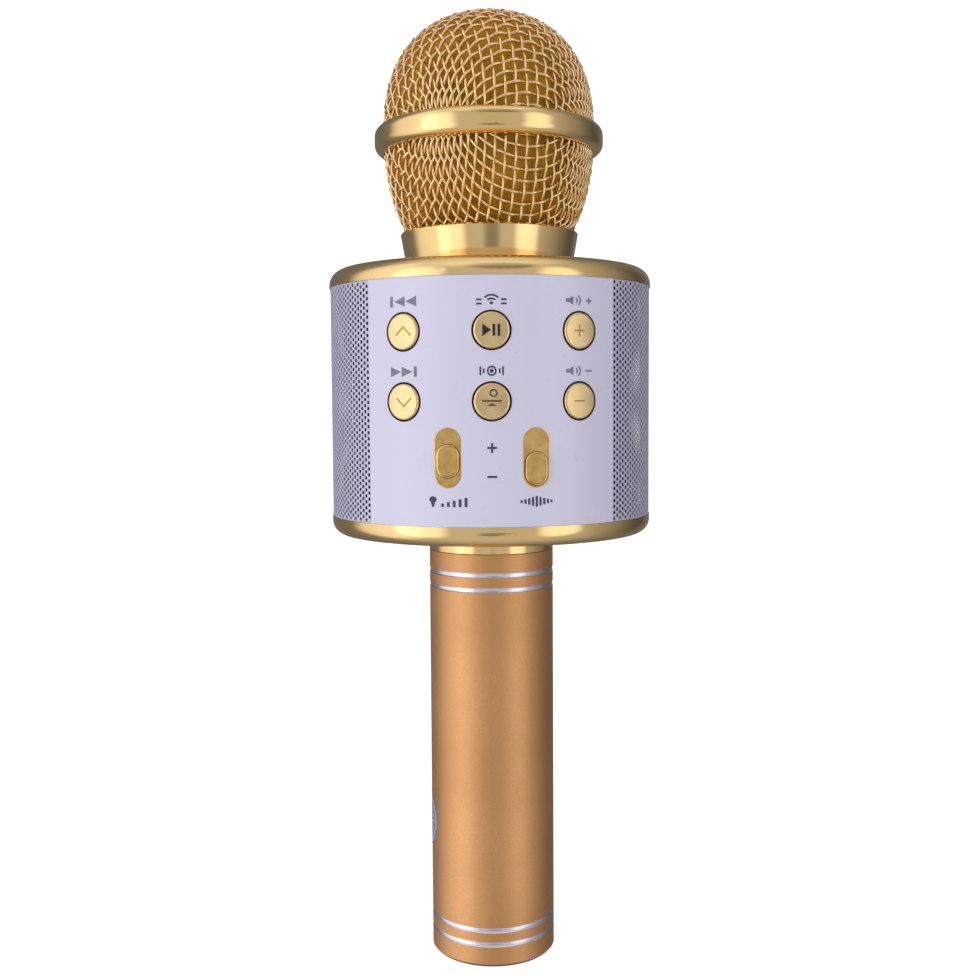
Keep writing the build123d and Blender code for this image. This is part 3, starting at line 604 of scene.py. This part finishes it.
def make_head(wire_material, foam_material):
    centre_line = Ball(inset=WIRE_INSET)
    bowl_low = corners("head_grille_lower")[0].z
    bowl_high = corners("head_grille_lower")[1].z
    dome_low = corners("head_grille_upper")[0].z
    turn = Matrix.Rotation(WEAVE_AZIMUTH - math.pi / 2, 3, "Z")
    spin = np.array(turn)
    for name, node, pole_sign, low, high in (
        ("wire_dome", "head_grille_upper", 1, dome_low, 1000.0),
        ("wire_bowl", "head_grille_lower", -1, bowl_low, bowl_high),
    ):
        stop = low if pole_sign > 0 else high
        net = whole_net(fishnet(centre_line, pole_sign, stop))
        paths = []
        for path in wires_of(net, centre_line):
            paths += clipped([spin @ point for point in path], low, high)
        wires = new_object(name, tubes(name, paths, WIRE_RADIUS, WIRE_SIDES), wire_material)
        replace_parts(wires, node)
    make_foam(foam_material)


FOAM_INSETS = (1.75, 4.6)
FOAM_ROWS = 110
FOAM_PORE_DEPTH = 0.22


def make_foam(material):
    """The windscreen liner: a closed soft shell with an uneven, open-celled skin."""
    outer, inner = (Ball(inset) for inset in FOAM_INSETS)
    bottom = corners("foam_liner")[0].z
    crown = Ball.EQUATOR_HEIGHT + Ball.ABOVE[0]
    outline = []
    for surface, order in ((outer, 1), (inner, -1)):
        top = crown - surface.inset
        rise = top - bottom
        turns = [math.pi / 2 * k / FOAM_ROWS for k in range(FOAM_ROWS)]
        heights = [bottom + rise * math.sin(turn) for turn in turns]
        line = [(surface.ring(height), height) for height in heights] + [(0.02, top)]
        outline += line if order > 0 else line[::-1]
    mesh = lathe("foam", outline, steps=200)
    generator = np.random.default_rng(7)
    for vertex in mesh.vertices:
        across = math.hypot(vertex.co.x, vertex.co.y)
        depth = FOAM_PORE_DEPTH * MM * generator.random()
        if across > 0.5 * MM:
            vertex.co.x *= 1 - depth / across
            vertex.co.y *= 1 - depth / across
    piece = new_object("windscreen_foam", mesh, material, slot="foam_gold")
    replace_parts(piece, "foam_liner")


# ---------------------------------------------------------------- perforated grille

HOLE_RADIUS = 0.48
HOLE_ROWS = 40
HOLE_COLUMNS = 164
HOLE_SIDES = 8
SHEET_WALL = 0.22


def make_grille(material):
    """Two halves of a thin sheet with staggered round holes, wrapped around the barrel."""
    low, high = corners("speaker_grille")
    radius = high.y
    wall = SHEET_WALL
    bottom, top = low.z, high.z
    edge = math.acos(-low.y / radius)
    row_pitch = (top - bottom) / HOLE_ROWS
    span = 2 * (math.pi - edge)
    column_pitch = span / HOLE_COLUMNS
    corner_angle = 2 * math.pi / HOLE_SIDES
    for half, name in enumerate(("grille_left", "grille_right")):
        vertices, index, faces = [], {}, []

        def vertex(azimuth, height, depth):
            key = (round(azimuth, 6), round(height, 4), depth)
            if key not in index:
                index[key] = len(vertices)
                around = radius - depth
                vertices.append((around * math.sin(azimuth), -around * math.cos(azimuth), height))
            return index[key]

        columns = range(half * HOLE_COLUMNS // 2, (half + 1) * HOLE_COLUMNS // 2)
        for column in columns:
            middle = edge + (column + 0.5) * column_pitch
            lift = row_pitch / 2 if column % 2 else 0.0
            rows = HOLE_ROWS - 1 if column % 2 else HOLE_ROWS
            left, right = middle - column_pitch / 2, middle + column_pitch / 2
            for row in range(rows):
                floor = bottom + lift + row * row_pitch
                ceiling = floor + row_pitch
                centre = (floor + ceiling) / 2
                rim = [
                    (right, centre),
                    (right, ceiling),
                    (middle, ceiling),
                    (left, ceiling),
                    (left, centre),
                    (left, floor),
                    (middle, floor),
                    (right, floor),
                ]
                hole = []
                for corner in range(HOLE_SIDES):
                    angle = corner * corner_angle
                    hole.append(
                        (
                            middle + HOLE_RADIUS * math.cos(angle) / radius,
                            centre + HOLE_RADIUS * math.sin(angle),
                        )
                    )
                front_rim = [vertex(a, h, 0.0) for a, h in rim]
                front_hole = [vertex(a, h, 0.0) for a, h in hole]
                back_rim = [vertex(a, h, wall) for a, h in rim]
                back_hole = [vertex(a, h, wall) for a, h in hole]
                for k in range(HOLE_SIDES):
                    n = (k + 1) % HOLE_SIDES
                    faces.append((front_rim[k], front_rim[n], front_hole[n], front_hole[k]))
                    faces.append((back_rim[n], back_rim[k], back_hole[k], back_hole[n]))
                    faces.append((front_hole[k], front_hole[n], back_hole[n], back_hole[k]))
            if column % 2:
                for floor, ceiling in ((bottom, bottom + lift), (top - lift, top)):
                    rim = [(left, floor), (middle, floor), (right, floor)]
                    rim += [(right, ceiling), (middle, ceiling), (left, ceiling)]
                    faces.append(tuple(vertex(a, h, 0.0) for a, h in rim))
                    faces.append(tuple([vertex(a, h, wall) for a, h in rim][::-1]))
        mesh = mesh_from(name, vertices, faces)
        mesh.set_sharp_from_angle(angle=math.radians(35))
        sheet = new_object(name, mesh, material, slot="grille_metal")
        layer = mesh.uv_layers.new(name="OFBake")
        places = np.zeros(len(mesh.vertices) * 3)
        mesh.vertices.foreach_get("co", places)
        places = places.reshape(-1, 3) / MM
        azimuths = np.mod(np.arctan2(places[:, 0], -places[:, 1]), 2 * math.pi)
        loops = np.zeros(len(mesh.loops), int)
        mesh.loops.foreach_get("vertex_index", loops)
        across = (azimuths[loops] - edge) / (2 * math.pi - 2 * edge)
        upward = (places[loops, 2] - bottom) / (top - bottom)
        layer.data.foreach_set("uv", np.column_stack([across, upward]).astype(np.float32).ravel())
        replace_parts(sheet, "speaker_grille")


# ---------------------------------------------------------------- printed and engraved signs

PRINT_LIFT = 0.03
LABEL_RISE = 7.0
LABEL_HEIGHT = 2.4
SLIDER_LABEL_DROP = 10.2
SLIDER_LABEL_HEIGHT = 2.5
MARK_REACH = 1.15
MARK_WIDTH = 0.5
BUTTON_PROUD = 0.6
SIGN_LIFT = 0.01
# Painted shadow in each button's hole: the black ring's depth below the panel, its radius and its
# width.
SHADOW_RING_DEPTH = 1.7
SHADOW_RING_RADIUS = 4.43
SHADOW_RING_WIDTH = 0.38


class Sign:
    """Flat artwork wrapped onto an upright cylinder about the handle's axis."""

    def __init__(self, x, z, radius, turn=None):
        self.radius = radius
        self.azimuth = math.asin(x / radius) if turn is None else turn
        self.height = z
        self.points = []
        self.faces = []

    def fill(self, outline):
        """One convex outline given in millimetres from the sign's centre."""
        start = len(self.points)
        self.points += [tuple(point) for point in outline]
        self.faces.append(tuple(range(start, len(self.points))))
        return self

    def fit(self, width, height):
        """Centres the artwork and gives it a width and a height."""
        flat = np.array(self.points)
        low, high = flat.min(axis=0), flat.max(axis=0)
        flat = (flat - (low + high) / 2) / (high - low) * (width, height)
        self.points = [tuple(point) for point in flat]
        return self

    def wrapped(self):
        """The artwork's corners on the cylinder."""
        made = []
        for across, up in self.points:
            angle = self.azimuth + across / self.radius
            made.append(
                (self.radius * math.sin(angle), -self.radius * math.cos(angle), self.height + up)
            )
        return made

    def bar(self, a, b, width):
        """A straight stroke from a to b, cut into short lengths so that it follows the curve."""
        a, b = Vector((*a, 0)), Vector((*b, 0))
        ahead = b - a
        side = Vector((-ahead.y, ahead.x, 0)).normalized() * width / 2
        pieces = max(1, math.ceil(ahead.length / 0.8))
        for k in range(pieces):
            p, q = a + ahead * k / pieces, a + ahead * (k + 1) / pieces
            self.fill([(p - side)[:2], (q - side)[:2], (q + side)[:2], (p + side)[:2]])
        return self

    def stroke(self, points, width):
        for a, b in zip(points, points[1:]):
            self.bar(a, b, width)
        for point in points[1:-1]:
            self.disc(point, width / 2, 8)
        return self

    def disc(self, centre, radius, sides=24):
        return self.fill(
            [
                (
                    centre[0] + radius * math.cos(2 * math.pi * k / sides),
                    centre[1] + radius * math.sin(2 * math.pi * k / sides),
                )
                for k in range(sides)
            ]
        )

    def ring(self, centre, radius, width, start=0.0, end=360.0, sides=24):
        """A circular stroke between two angles in degrees."""
        pieces = max(3, round(sides * (end - start) / 360))
        for k in range(pieces):
            a = math.radians(start + (end - start) * k / pieces)
            b = math.radians(start + (end - start) * (k + 1) / pieces)
            inner, outer = radius - width / 2, radius + width / 2
            self.fill(
                [
                    (centre[0] + inner * math.cos(a), centre[1] + inner * math.sin(a)),
                    (centre[0] + outer * math.cos(a), centre[1] + outer * math.sin(a)),
                    (centre[0] + outer * math.cos(b), centre[1] + outer * math.sin(b)),
                    (centre[0] + inner * math.cos(b), centre[1] + inner * math.sin(b)),
                ]
            )
        return self

    def build(self, name, material, body="body", slot=None, thickness=0.03):
        """Makes the artwork a thin raised film."""
        mesh = mesh_from(name, self.wrapped(), self.faces, smooth=False)
        film = bmesh.new()
        film.from_mesh(mesh)
        bmesh.ops.recalc_face_normals(film, faces=film.faces)
        for face in film.faces:
            middle = face.calc_center_median()
            if face.normal.dot(Vector((middle.x, middle.y, 0))) < 0:
                face.normal_flip()
        made = bmesh.ops.extrude_face_region(film, geom=film.faces[:])
        for item in made["geom"]:
            if isinstance(item, bmesh.types.BMVert):
                out = Vector((item.co.x, item.co.y, 0)).normalized()
                item.co += out * thickness * MM
        bmesh.ops.recalc_face_normals(film, faces=film.faces)
        film.to_mesh(mesh)
        film.free()
        return new_object(name, mesh, material, body=body, slot=slot)


def skip_sign(sign, way):
    """Two arrowheads and an upright bar: back with way -1, on with way 1."""
    size = 0.95
    for shift in (-1.15, 0.45):
        tip = (way * (shift + 1.5), 0)
        sign.fill([(way * shift, -size), tip, (way * shift, size)])
    sign.bar((way * 2.35, -size), (way * 2.35, size), 0.42)


def search_sign(sign):
    """Three rising arcs and a dot, as for looking for a signal."""
    sign.disc((0, -0.75), 0.34, 16)
    for radius in (0.95, 1.75):
        sign.ring((0, -0.75), radius, 0.4, 40, 140)
    for way in (-1, 1):
        sign.stroke([(way * 1.9, -0.9), (way * 3.0, -0.9)], 0.4)
        sign.stroke([(way * 1.9, 0.0), (way * 3.0, 0.0)], 0.4)


def record_sign(sign):
    sign.ring((0, 0), 0.85, 0.34)
    sign.disc((0, 0), 0.42, 16)
    for way in (-1, 1):
        sign.bar((way * 1.7, -0.45), (way * 1.7, 0.45), 0.36)
        sign.bar((way * 2.4, -0.85), (way * 2.4, 0.85), 0.36)


def loudness_sign(sign, louder):
    """A small loudspeaker with a plus or a minus."""
    sign.fill([(-2.6, -0.38), (-2.0, -0.38), (-2.0, 0.38), (-2.6, 0.38)])
    sign.fill([(-2.0, -0.38), (-1.2, -0.95), (-1.2, 0.95), (-2.0, 0.38)])
    sign.ring((-1.2, 0), 0.75, 0.3, -45, 45)
    sign.ring((-1.2, 0), 1.4, 0.3, -45, 45)
    sign.bar((1.3, 0), (2.6, 0), 0.34)
    if louder:
        sign.bar((1.95, -0.65), (1.95, 0.65), 0.34)


def microphone_sign(sign):
    """A small microphone with level bars beside it."""
    sign.disc((-2.6, 0.45), 0.62, 18)
    sign.fill([(-2.95, -0.1), (-2.75, -1.0), (-2.45, -1.0), (-2.25, -0.1)])
    for k in range(5):
        reach = 0.35 + 0.28 * k
        sign.bar((-1.0 + 0.95 * k, -0.95), (-1.0 + 0.95 * k, -0.95 + reach + 0.3), 0.45)


def echo_sign(sign):
    """A wave that dies away."""
    for k, reach in enumerate((0.95, 0.75, 0.55, 0.4, 0.25)):
        for way in ((1,) if k == 0 else (-1, 1)):
            sign.bar((way * 0.72 * k, -reach), (way * 0.72 * k, reach), 0.42)


def make_signs(dark_ink, pale_ink, black_ink_and_shadow, brown_ink, engraved):
    buttons = {
        name: (low + high) / 2
        for name in NODES
        if name.endswith("_button")
        for low, high in [corners(name)]
    }
    panel = corners("front_panel")
    panel_radius = -panel[0].y
    print_radius = panel_radius + PRINT_LIFT / 2
    labels = {
        "previous_button": (lambda sign: skip_sign(sign, -1), 7.2),
        "next_button": (lambda sign: skip_sign(sign, 1), 7.2),
        "play_button": (search_sign, 7.0),
        "record_button": (record_sign, 5.6),
        "volume_up_button": (lambda sign: loudness_sign(sign, True), 7.2),
        "volume_down_button": (lambda sign: loudness_sign(sign, False), 7.2),
    }
    for name, (draw, width) in labels.items():
        middle = buttons[name]
        sign = Sign(middle.x, middle.z + LABEL_RISE, print_radius)
        draw(sign)
        sign.fit(width, LABEL_HEIGHT)
        ink = dark_ink if abs(middle.x) < 1 else pale_ink
        sign.build(name.replace("button", "label"), ink)
    for hand, draw, width in (("left", microphone_sign, 9.2), ("right", echo_sign, 7.8)):
        low, high = corners(f"{hand}_slider_tray")
        sign = Sign((low.x + high.x) / 2, (low.z + high.z) / 2 - SLIDER_LABEL_DROP, print_radius)
        draw(sign)
        sign.fit(width, SLIDER_LABEL_HEIGHT)
        sign.build(f"{hand}_slider_label", dark_ink)
    tray_low, tray_high = corners("left_slider_tray")
    tray_middle = (tray_low.z + tray_high.z) / 2
    plus = Sign(0, tray_middle + 2.3, print_radius)
    plus.bar((-MARK_REACH, 0), (MARK_REACH, 0), MARK_WIDTH)
    plus.bar((0, -MARK_REACH), (0, MARK_REACH), MARK_WIDTH)
    plus.build("plus_mark", dark_ink)
    minus = Sign(0, tray_middle - 4.4, print_radius)
    minus.bar((-MARK_REACH, 0), (MARK_REACH, 0), MARK_WIDTH)
    minus.build("minus_mark", dark_ink)

    # Each button carries a black ring sunk into its hole in the panel. This is painted shadow for
    # the dark gap and the shaded side wall around the cap.
    for name, middle in buttons.items():
        shadow_ring = Sign(middle.x, middle.z, panel_radius - SHADOW_RING_DEPTH)
        shadow_ring.ring((0, 0), SHADOW_RING_RADIUS, SHADOW_RING_WIDTH, sides=48)
        shadow_ring.build(name.replace("button", "shadow_ring"), black_ink_and_shadow, body=name)

    cap_radius = panel_radius + BUTTON_PROUD + SIGN_LIFT

    def on_cap(name):
        return Sign(buttons[name].x, buttons[name].z, cap_radius)

    sign = on_cap("previous_button")
    sign.stroke([(-2.0, -0.9), (0, 1.1), (2.0, -0.9)], 0.42)
    sign.build("chevron_up", engraved, body="previous_button")
    sign = on_cap("next_button")
    sign.stroke([(-2.0, 0.9), (0, -1.1), (2.0, 0.9)], 0.42)
    sign.build("chevron_down", engraved, body="next_button")
    sign = on_cap("play_button")
    sign.fill([(-2.1, -1.45), (-0.1, 0), (-2.1, 1.45)])
    sign.bar((0.55, -1.35), (0.55, 1.35), 0.62)
    sign.bar((1.7, -1.35), (1.7, 1.35), 0.62)
    sign.build("play_sign", black_ink_and_shadow, body="play_button")
    sign = on_cap("record_button")
    sign.bar((-2.3, 0.1), (2.3, 0.1), 0.42)
    sign.ring((0.4, 1.9), 0.75, 0.4)
    sign.fill([(-1.2, -1.1), (1.2, -1.1), (0, -0.35)])
    sign.build("record_sign", brown_ink, body="record_button")
    sign = on_cap("volume_up_button")
    sign.bar((-1.4, 0), (1.4, 0), 0.4)
    sign.bar((0, -1.4), (0, 1.4), 0.4)
    sign.build("plus_sign", engraved, body="volume_up_button")
    sign = on_cap("volume_down_button")
    sign.bar((-1.4, 0), (1.4, 0), 0.4)
    sign.build("minus_sign", engraved, body="volume_down_button")


# ---------------------------------------------------------------- handle and badge


TUBE_WALL = 1.3
GROOVES = (5.98, 9.72, 98.0, 101.8)
GROOVE_HALF, GROOVE_DEPTH, GROOVE_EDGE = 0.6, 0.2, 0.12


def make_handle(tube_material, cut_material):
    """The tube with its bright grooves, turned with softened edges."""
    low, high = corners("handle_tube")
    radius = high.x
    inner = radius - TUBE_WALL
    bottom, top = low.z, high.z
    half, depth, edge = GROOVE_HALF, GROOVE_DEPTH, GROOVE_EDGE
    outline = [(inner, bottom), (radius - 0.25, bottom), (radius, bottom + 0.25)]
    bright = []
    for height in GROOVES:
        outline.append((radius, height - half - edge / 2))
        bright.append(len(outline) - 1)
        outline.append((radius - depth, height - half + edge))
        outline.append((radius - depth * 0.55, height))
        outline.append((radius - depth, height + half - edge))
        bright += [len(outline) - 3, len(outline) - 2, len(outline) - 1]
        outline.append((radius, height + half + edge / 2))
    outline += [(radius, top - 0.2), (radius - 0.2, top), (inner, top)]
    mesh = lathe(
        "handle", outline, steps=256, materials_by_span=lambda span: 1 if span in bright else 0
    )
    mesh.set_sharp_from_angle(angle=math.radians(30))
    piece = new_object("handle", mesh, tube_material, cut_material, slot="anodised_handle")
    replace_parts(piece, "handle_tube")


def make_badge(foil, dark):
    """A round foil laid on the tube, with plain rings and rays."""
    low, high = corners("badge")
    middle = (low.z + high.z) / 2
    reach = (high.z - low.z) / 2
    tube_radius = corners("handle_tube")[1].x
    plate = Sign(0, middle, tube_radius - 0.1, turn=math.radians(-90))
    rows = 32
    for k in range(rows):
        below, above = -reach + 2 * reach * k / rows, -reach + 2 * reach * (k + 1) / rows
        left, right = (math.sqrt(max(reach**2 - up**2, 0.0)) for up in (below, above))
        for j in range(rows):
            a, b = 2 * j / rows - 1, 2 * (j + 1) / rows - 1
            outline = [(left * a, below), (left * b, below), (right * b, above), (right * a, above)]
            plate.fill([point for n, point in enumerate(outline) if point not in outline[:n]])
    plate.faces = [face for face in plate.faces if len(face) > 2]
    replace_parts(plate.build("badge_plate", foil, slot="badge_foil", thickness=0.12), "badge")
    face = Sign(0, middle, tube_radius + 0.02, turn=math.radians(-90))
    for radius, width in ((7.3, 0.7), (5.6, 0.35), (2.4, 0.35)):
        face.ring((0, 0), radius, width, sides=64)
    for k in range(16):
        angle = 2 * math.pi * k / 16
        a = (3.0 * math.cos(angle), 3.0 * math.sin(angle))
        b = (5.0 * math.cos(angle + 0.12), 5.0 * math.sin(angle + 0.12))
        face.bar(a, b, 0.5)
    face.disc((0, 0), 1.2, 24)
    face.build("badge_rings", dark, slot="badge_foil", thickness=0.02)


# ---------------------------------------------------------------- hidden foam


CUSHION_EDGE = 1.6
CUSHION_PORE_DEPTH = 0.06


def make_cushions(material):
    """The battery's pads and the loudspeakers' gaskets, with an uneven open skin."""
    generator = np.random.default_rng(11)
    for node in ("battery_pads", "left_speaker_gasket", "right_speaker_gasket"):
        source = NODES[node]
        mesh = source.data.copy()
        mesh.transform(source.matrix_world)
        mesh.materials.clear()
        skin = bmesh.new()
        skin.from_mesh(mesh)
        bmesh.ops.remove_doubles(skin, verts=skin.verts, dist=0.001 * MM)
        bmesh.ops.triangulate(skin, faces=skin.faces)
        for _ in range(3):
            long_edges = [edge for edge in skin.edges if edge.calc_length() > CUSHION_EDGE * MM]
            bmesh.ops.subdivide_edges(skin, edges=long_edges, cuts=1)
            bmesh.ops.triangulate(skin, faces=skin.faces)
        skin.normal_update()
        for vertex in skin.verts:
            vertex.co -= vertex.normal * CUSHION_PORE_DEPTH * MM * generator.random()
        skin.to_mesh(mesh)
        skin.free()
        mesh.shade_smooth()
        piece = new_object(f"{node}_foam", mesh, material, slot="foam_black")
        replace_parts(piece, node)


# ---------------------------------------------------------------- surroundings


# Soft patches of light: direction, angles in degrees where each is full and where it ends,
# and brightness, below 0 where it darkens. The boxes stand upright, so their height is squeezed
# before it is compared.
BOXES = {
    "left": ((-0.78, -0.62, -0.04), 8, 24, 0.80),
    "left_side": ((-1.0, -0.12, 0.0), 14, 36, 0.60),
    "right": ((0.76, -0.65, -0.04), 6, 20, 0.75),
}
PATCHES = {
    "above": ((-0.1, -0.25, 1.0), 20, 50, 0.35),
    "dark_front": ((0.05, -1.0, -0.35), 5, 15, -0.34),
    "dark_crown": ((0.12, -0.80, 0.62), 12, 26, -0.34),
    "dark_right": ((0.97, 0.25, 0.0), 20, 50, -0.10),
}
HEIGHT_SQUEEZE = 0.4
WORLD_FRONT = 0.62
WORLD_BACK = 0.18
WORLD_COLOUR = (0.97, 0.96, 1.0, 1.0)
PAPER_GLOW = 0.72


def make_surroundings():
    """A white bowl seen only by the camera, inside a dim room with soft patches of light."""
    rise, floor_radius, bend = 3.0, 1.2, 0.9
    outline = [(0.001, 0.0), (0.4, 0.0), (floor_radius, 0.0)]
    for k in range(1, 17):
        angle = math.pi / 2 * k / 16
        outline.append((floor_radius + bend * math.sin(angle), bend - bend * math.cos(angle)))
    outline.append((floor_radius + bend, rise))
    steps = 96
    vertices, faces = [], []
    for step in range(steps):
        angle = 2 * math.pi * step / steps
        vertices += [(r * math.cos(angle), r * math.sin(angle), z) for r, z in outline]
    count = len(outline)
    for step in range(steps):
        here, there = step * count, ((step + 1) % steps) * count
        for k in range(count - 1):
            faces.append((here + k, there + k, there + k + 1, here + k + 1))
    mesh = bpy.data.meshes.new("bowl")
    mesh.from_pydata(vertices, [], faces)
    mesh.shade_smooth()
    bowl = bpy.data.objects.new("bowl", mesh)
    bpy.context.scene.collection.objects.link(bowl)
    white = Finish("bowl_paper", (0.80, 0.80, 0.80), 0.9)
    white.tint(white.noise(400, 1), (0.81, 0.81, 0.81))
    white.shader.inputs["Emission Color"].default_value = (1, 1, 1, 1)
    white.shader.inputs["Emission Strength"].default_value = PAPER_GLOW
    mesh.materials.append(white.material)
    bowl.visible_glossy = False
    bowl.visible_diffuse = False
    bowl.visible_transmission = False
    bowl.visible_shadow = False

    world = bpy.data.worlds.new("world")
    world.use_nodes = True
    tree = world.node_tree
    background = tree.nodes["Background"]
    background.inputs["Color"].default_value = WORLD_COLOUR
    around = tree.nodes.new("ShaderNodeTexCoord").outputs["Generated"]

    def vector(operation, source, other=None):
        made = tree.nodes.new("ShaderNodeVectorMath")
        made.operation = operation
        tree.links.new(source, made.inputs[0])
        if other is not None:
            made.inputs[1].default_value = other
        return made.outputs["Value" if operation == "DOT_PRODUCT" else "Vector"]

    def ramp(source, start, end, low, high):
        made = tree.nodes.new("ShaderNodeMapRange")
        made.interpolation_type = "SMOOTHSTEP"
        made.inputs["From Min"].default_value = start
        made.inputs["From Max"].default_value = end
        made.inputs["To Min"].default_value = low
        made.inputs["To Max"].default_value = high
        tree.links.new(source, made.inputs["Value"])
        return made.outputs["Result"]

    squeezed = vector("NORMALIZE", vector("MULTIPLY", around, (1.0, 1.0, HEIGHT_SQUEEZE)))
    glow = ramp(vector("DOT_PRODUCT", around, (0.0, 1.0, 0.0)), -0.6, 0.8, WORLD_FRONT, WORLD_BACK)
    for table, direction in ((BOXES, squeezed), (PATCHES, around)):
        for place, full, end, power in table.values():
            facing = vector("DOT_PRODUCT", direction, tuple(Vector(place).normalized()))
            start, stop = math.cos(math.radians(end)), math.cos(math.radians(full))
            total = tree.nodes.new("ShaderNodeMath")
            tree.links.new(glow, total.inputs[0])
            tree.links.new(ramp(facing, start, stop, 0.0, power), total.inputs[1])
            glow = total.outputs["Value"]
    tree.links.new(glow, background.inputs["Strength"])
    bpy.context.scene.world = world
    bpy.context.scene.view_settings.view_transform = "Standard"


# ---------------------------------------------------------------- the whole microphone


def dress(node, material):
    """Gives a CAD node a material."""
    mesh = NODES[node].data
    mesh.materials.clear()
    mesh.materials.append(material)


make_camera()
gold = polished_gold()
spun = spun_gold()
tray = tray_gold()
black = black_moulding()
by_slot = {
    "gold_plating": gold,
    "gold_plating_metal": gold,
    "gold_knob": tray,
    "gold_button": spun,
    "gold_tray": tray,
    "white_panel": white_panel(),
    "black_plastic": black,
    "switch_case": simple("switch_case", (0.03, 0.03, 0.035), 0.5),
    "clear_plastic": simple("clear_plastic", (0.75, 0.80, 0.86), 0.3),
    "circuit_board": circuit_board(),
    "nickel": simple("nickel", (0.62, 0.61, 0.58), 0.25, 1.0),
    "steel_screw": simple("steel_screw", (0.12, 0.12, 0.13), 0.35, 1.0),
    "speaker_steel": simple("speaker_steel", (0.03, 0.03, 0.03), 0.45, 0.6),
    "magnet": simple("magnet", (0.05, 0.05, 0.055), 0.6, 0.3),
    "paper_cone": simple("paper_cone", (0.02, 0.02, 0.02), 0.85),
    "rubber_black": simple("rubber_black", (0.015, 0.015, 0.015), 0.75),
    "foam_black": simple("foam_black", (0.02, 0.02, 0.02), 0.95, grain=1.0),
    "battery_wrap": simple("battery_wrap", (0.03, 0.12, 0.38), 0.35),
    "capsule_metal": simple("capsule_metal", (0.60, 0.60, 0.60), 0.35, 1.0),
    "lead_grey": simple("lead_grey", (0.12, 0.12, 0.13), 0.6),
    "lead_black": simple("lead_black", (0.02, 0.02, 0.02), 0.6),
    "lead_red": simple("lead_red", (0.45, 0.02, 0.015), 0.6),
}
for row in frame["record"]["subparts"]:
    if row["material_slot"] in by_slot:
        dress(row["node"], by_slot[row["material_slot"]])

make_head(wire_gold(), foam())
make_grille(grille_paint())
make_handle(anodised_handle(), bright_cut())
make_badge(foil_badge(), simple("badge_dark", (0.30, 0.31, 0.42), 0.4, 0.5))
make_signs(
    print_ink("dark_ink", (0.045, 0.045, 0.075)),
    print_ink("pale_ink", (0.19, 0.19, 0.26)),
    # Black print for the play sign, also used for the painted shadow rings in the buttons' holes.
    print_ink("black_ink_and_shadow", (0.008, 0.007, 0.007)),
    print_ink("brown_ink", (0.10, 0.06, 0.02)),
    simple("engraved_gold", (0.50, 0.32, 0.12), 0.4, 1.0, grain=0.2),
)
make_cushions(simple("cushion_foam", (0.02, 0.02, 0.02), 0.95, grain=1.0))
make_surroundings()
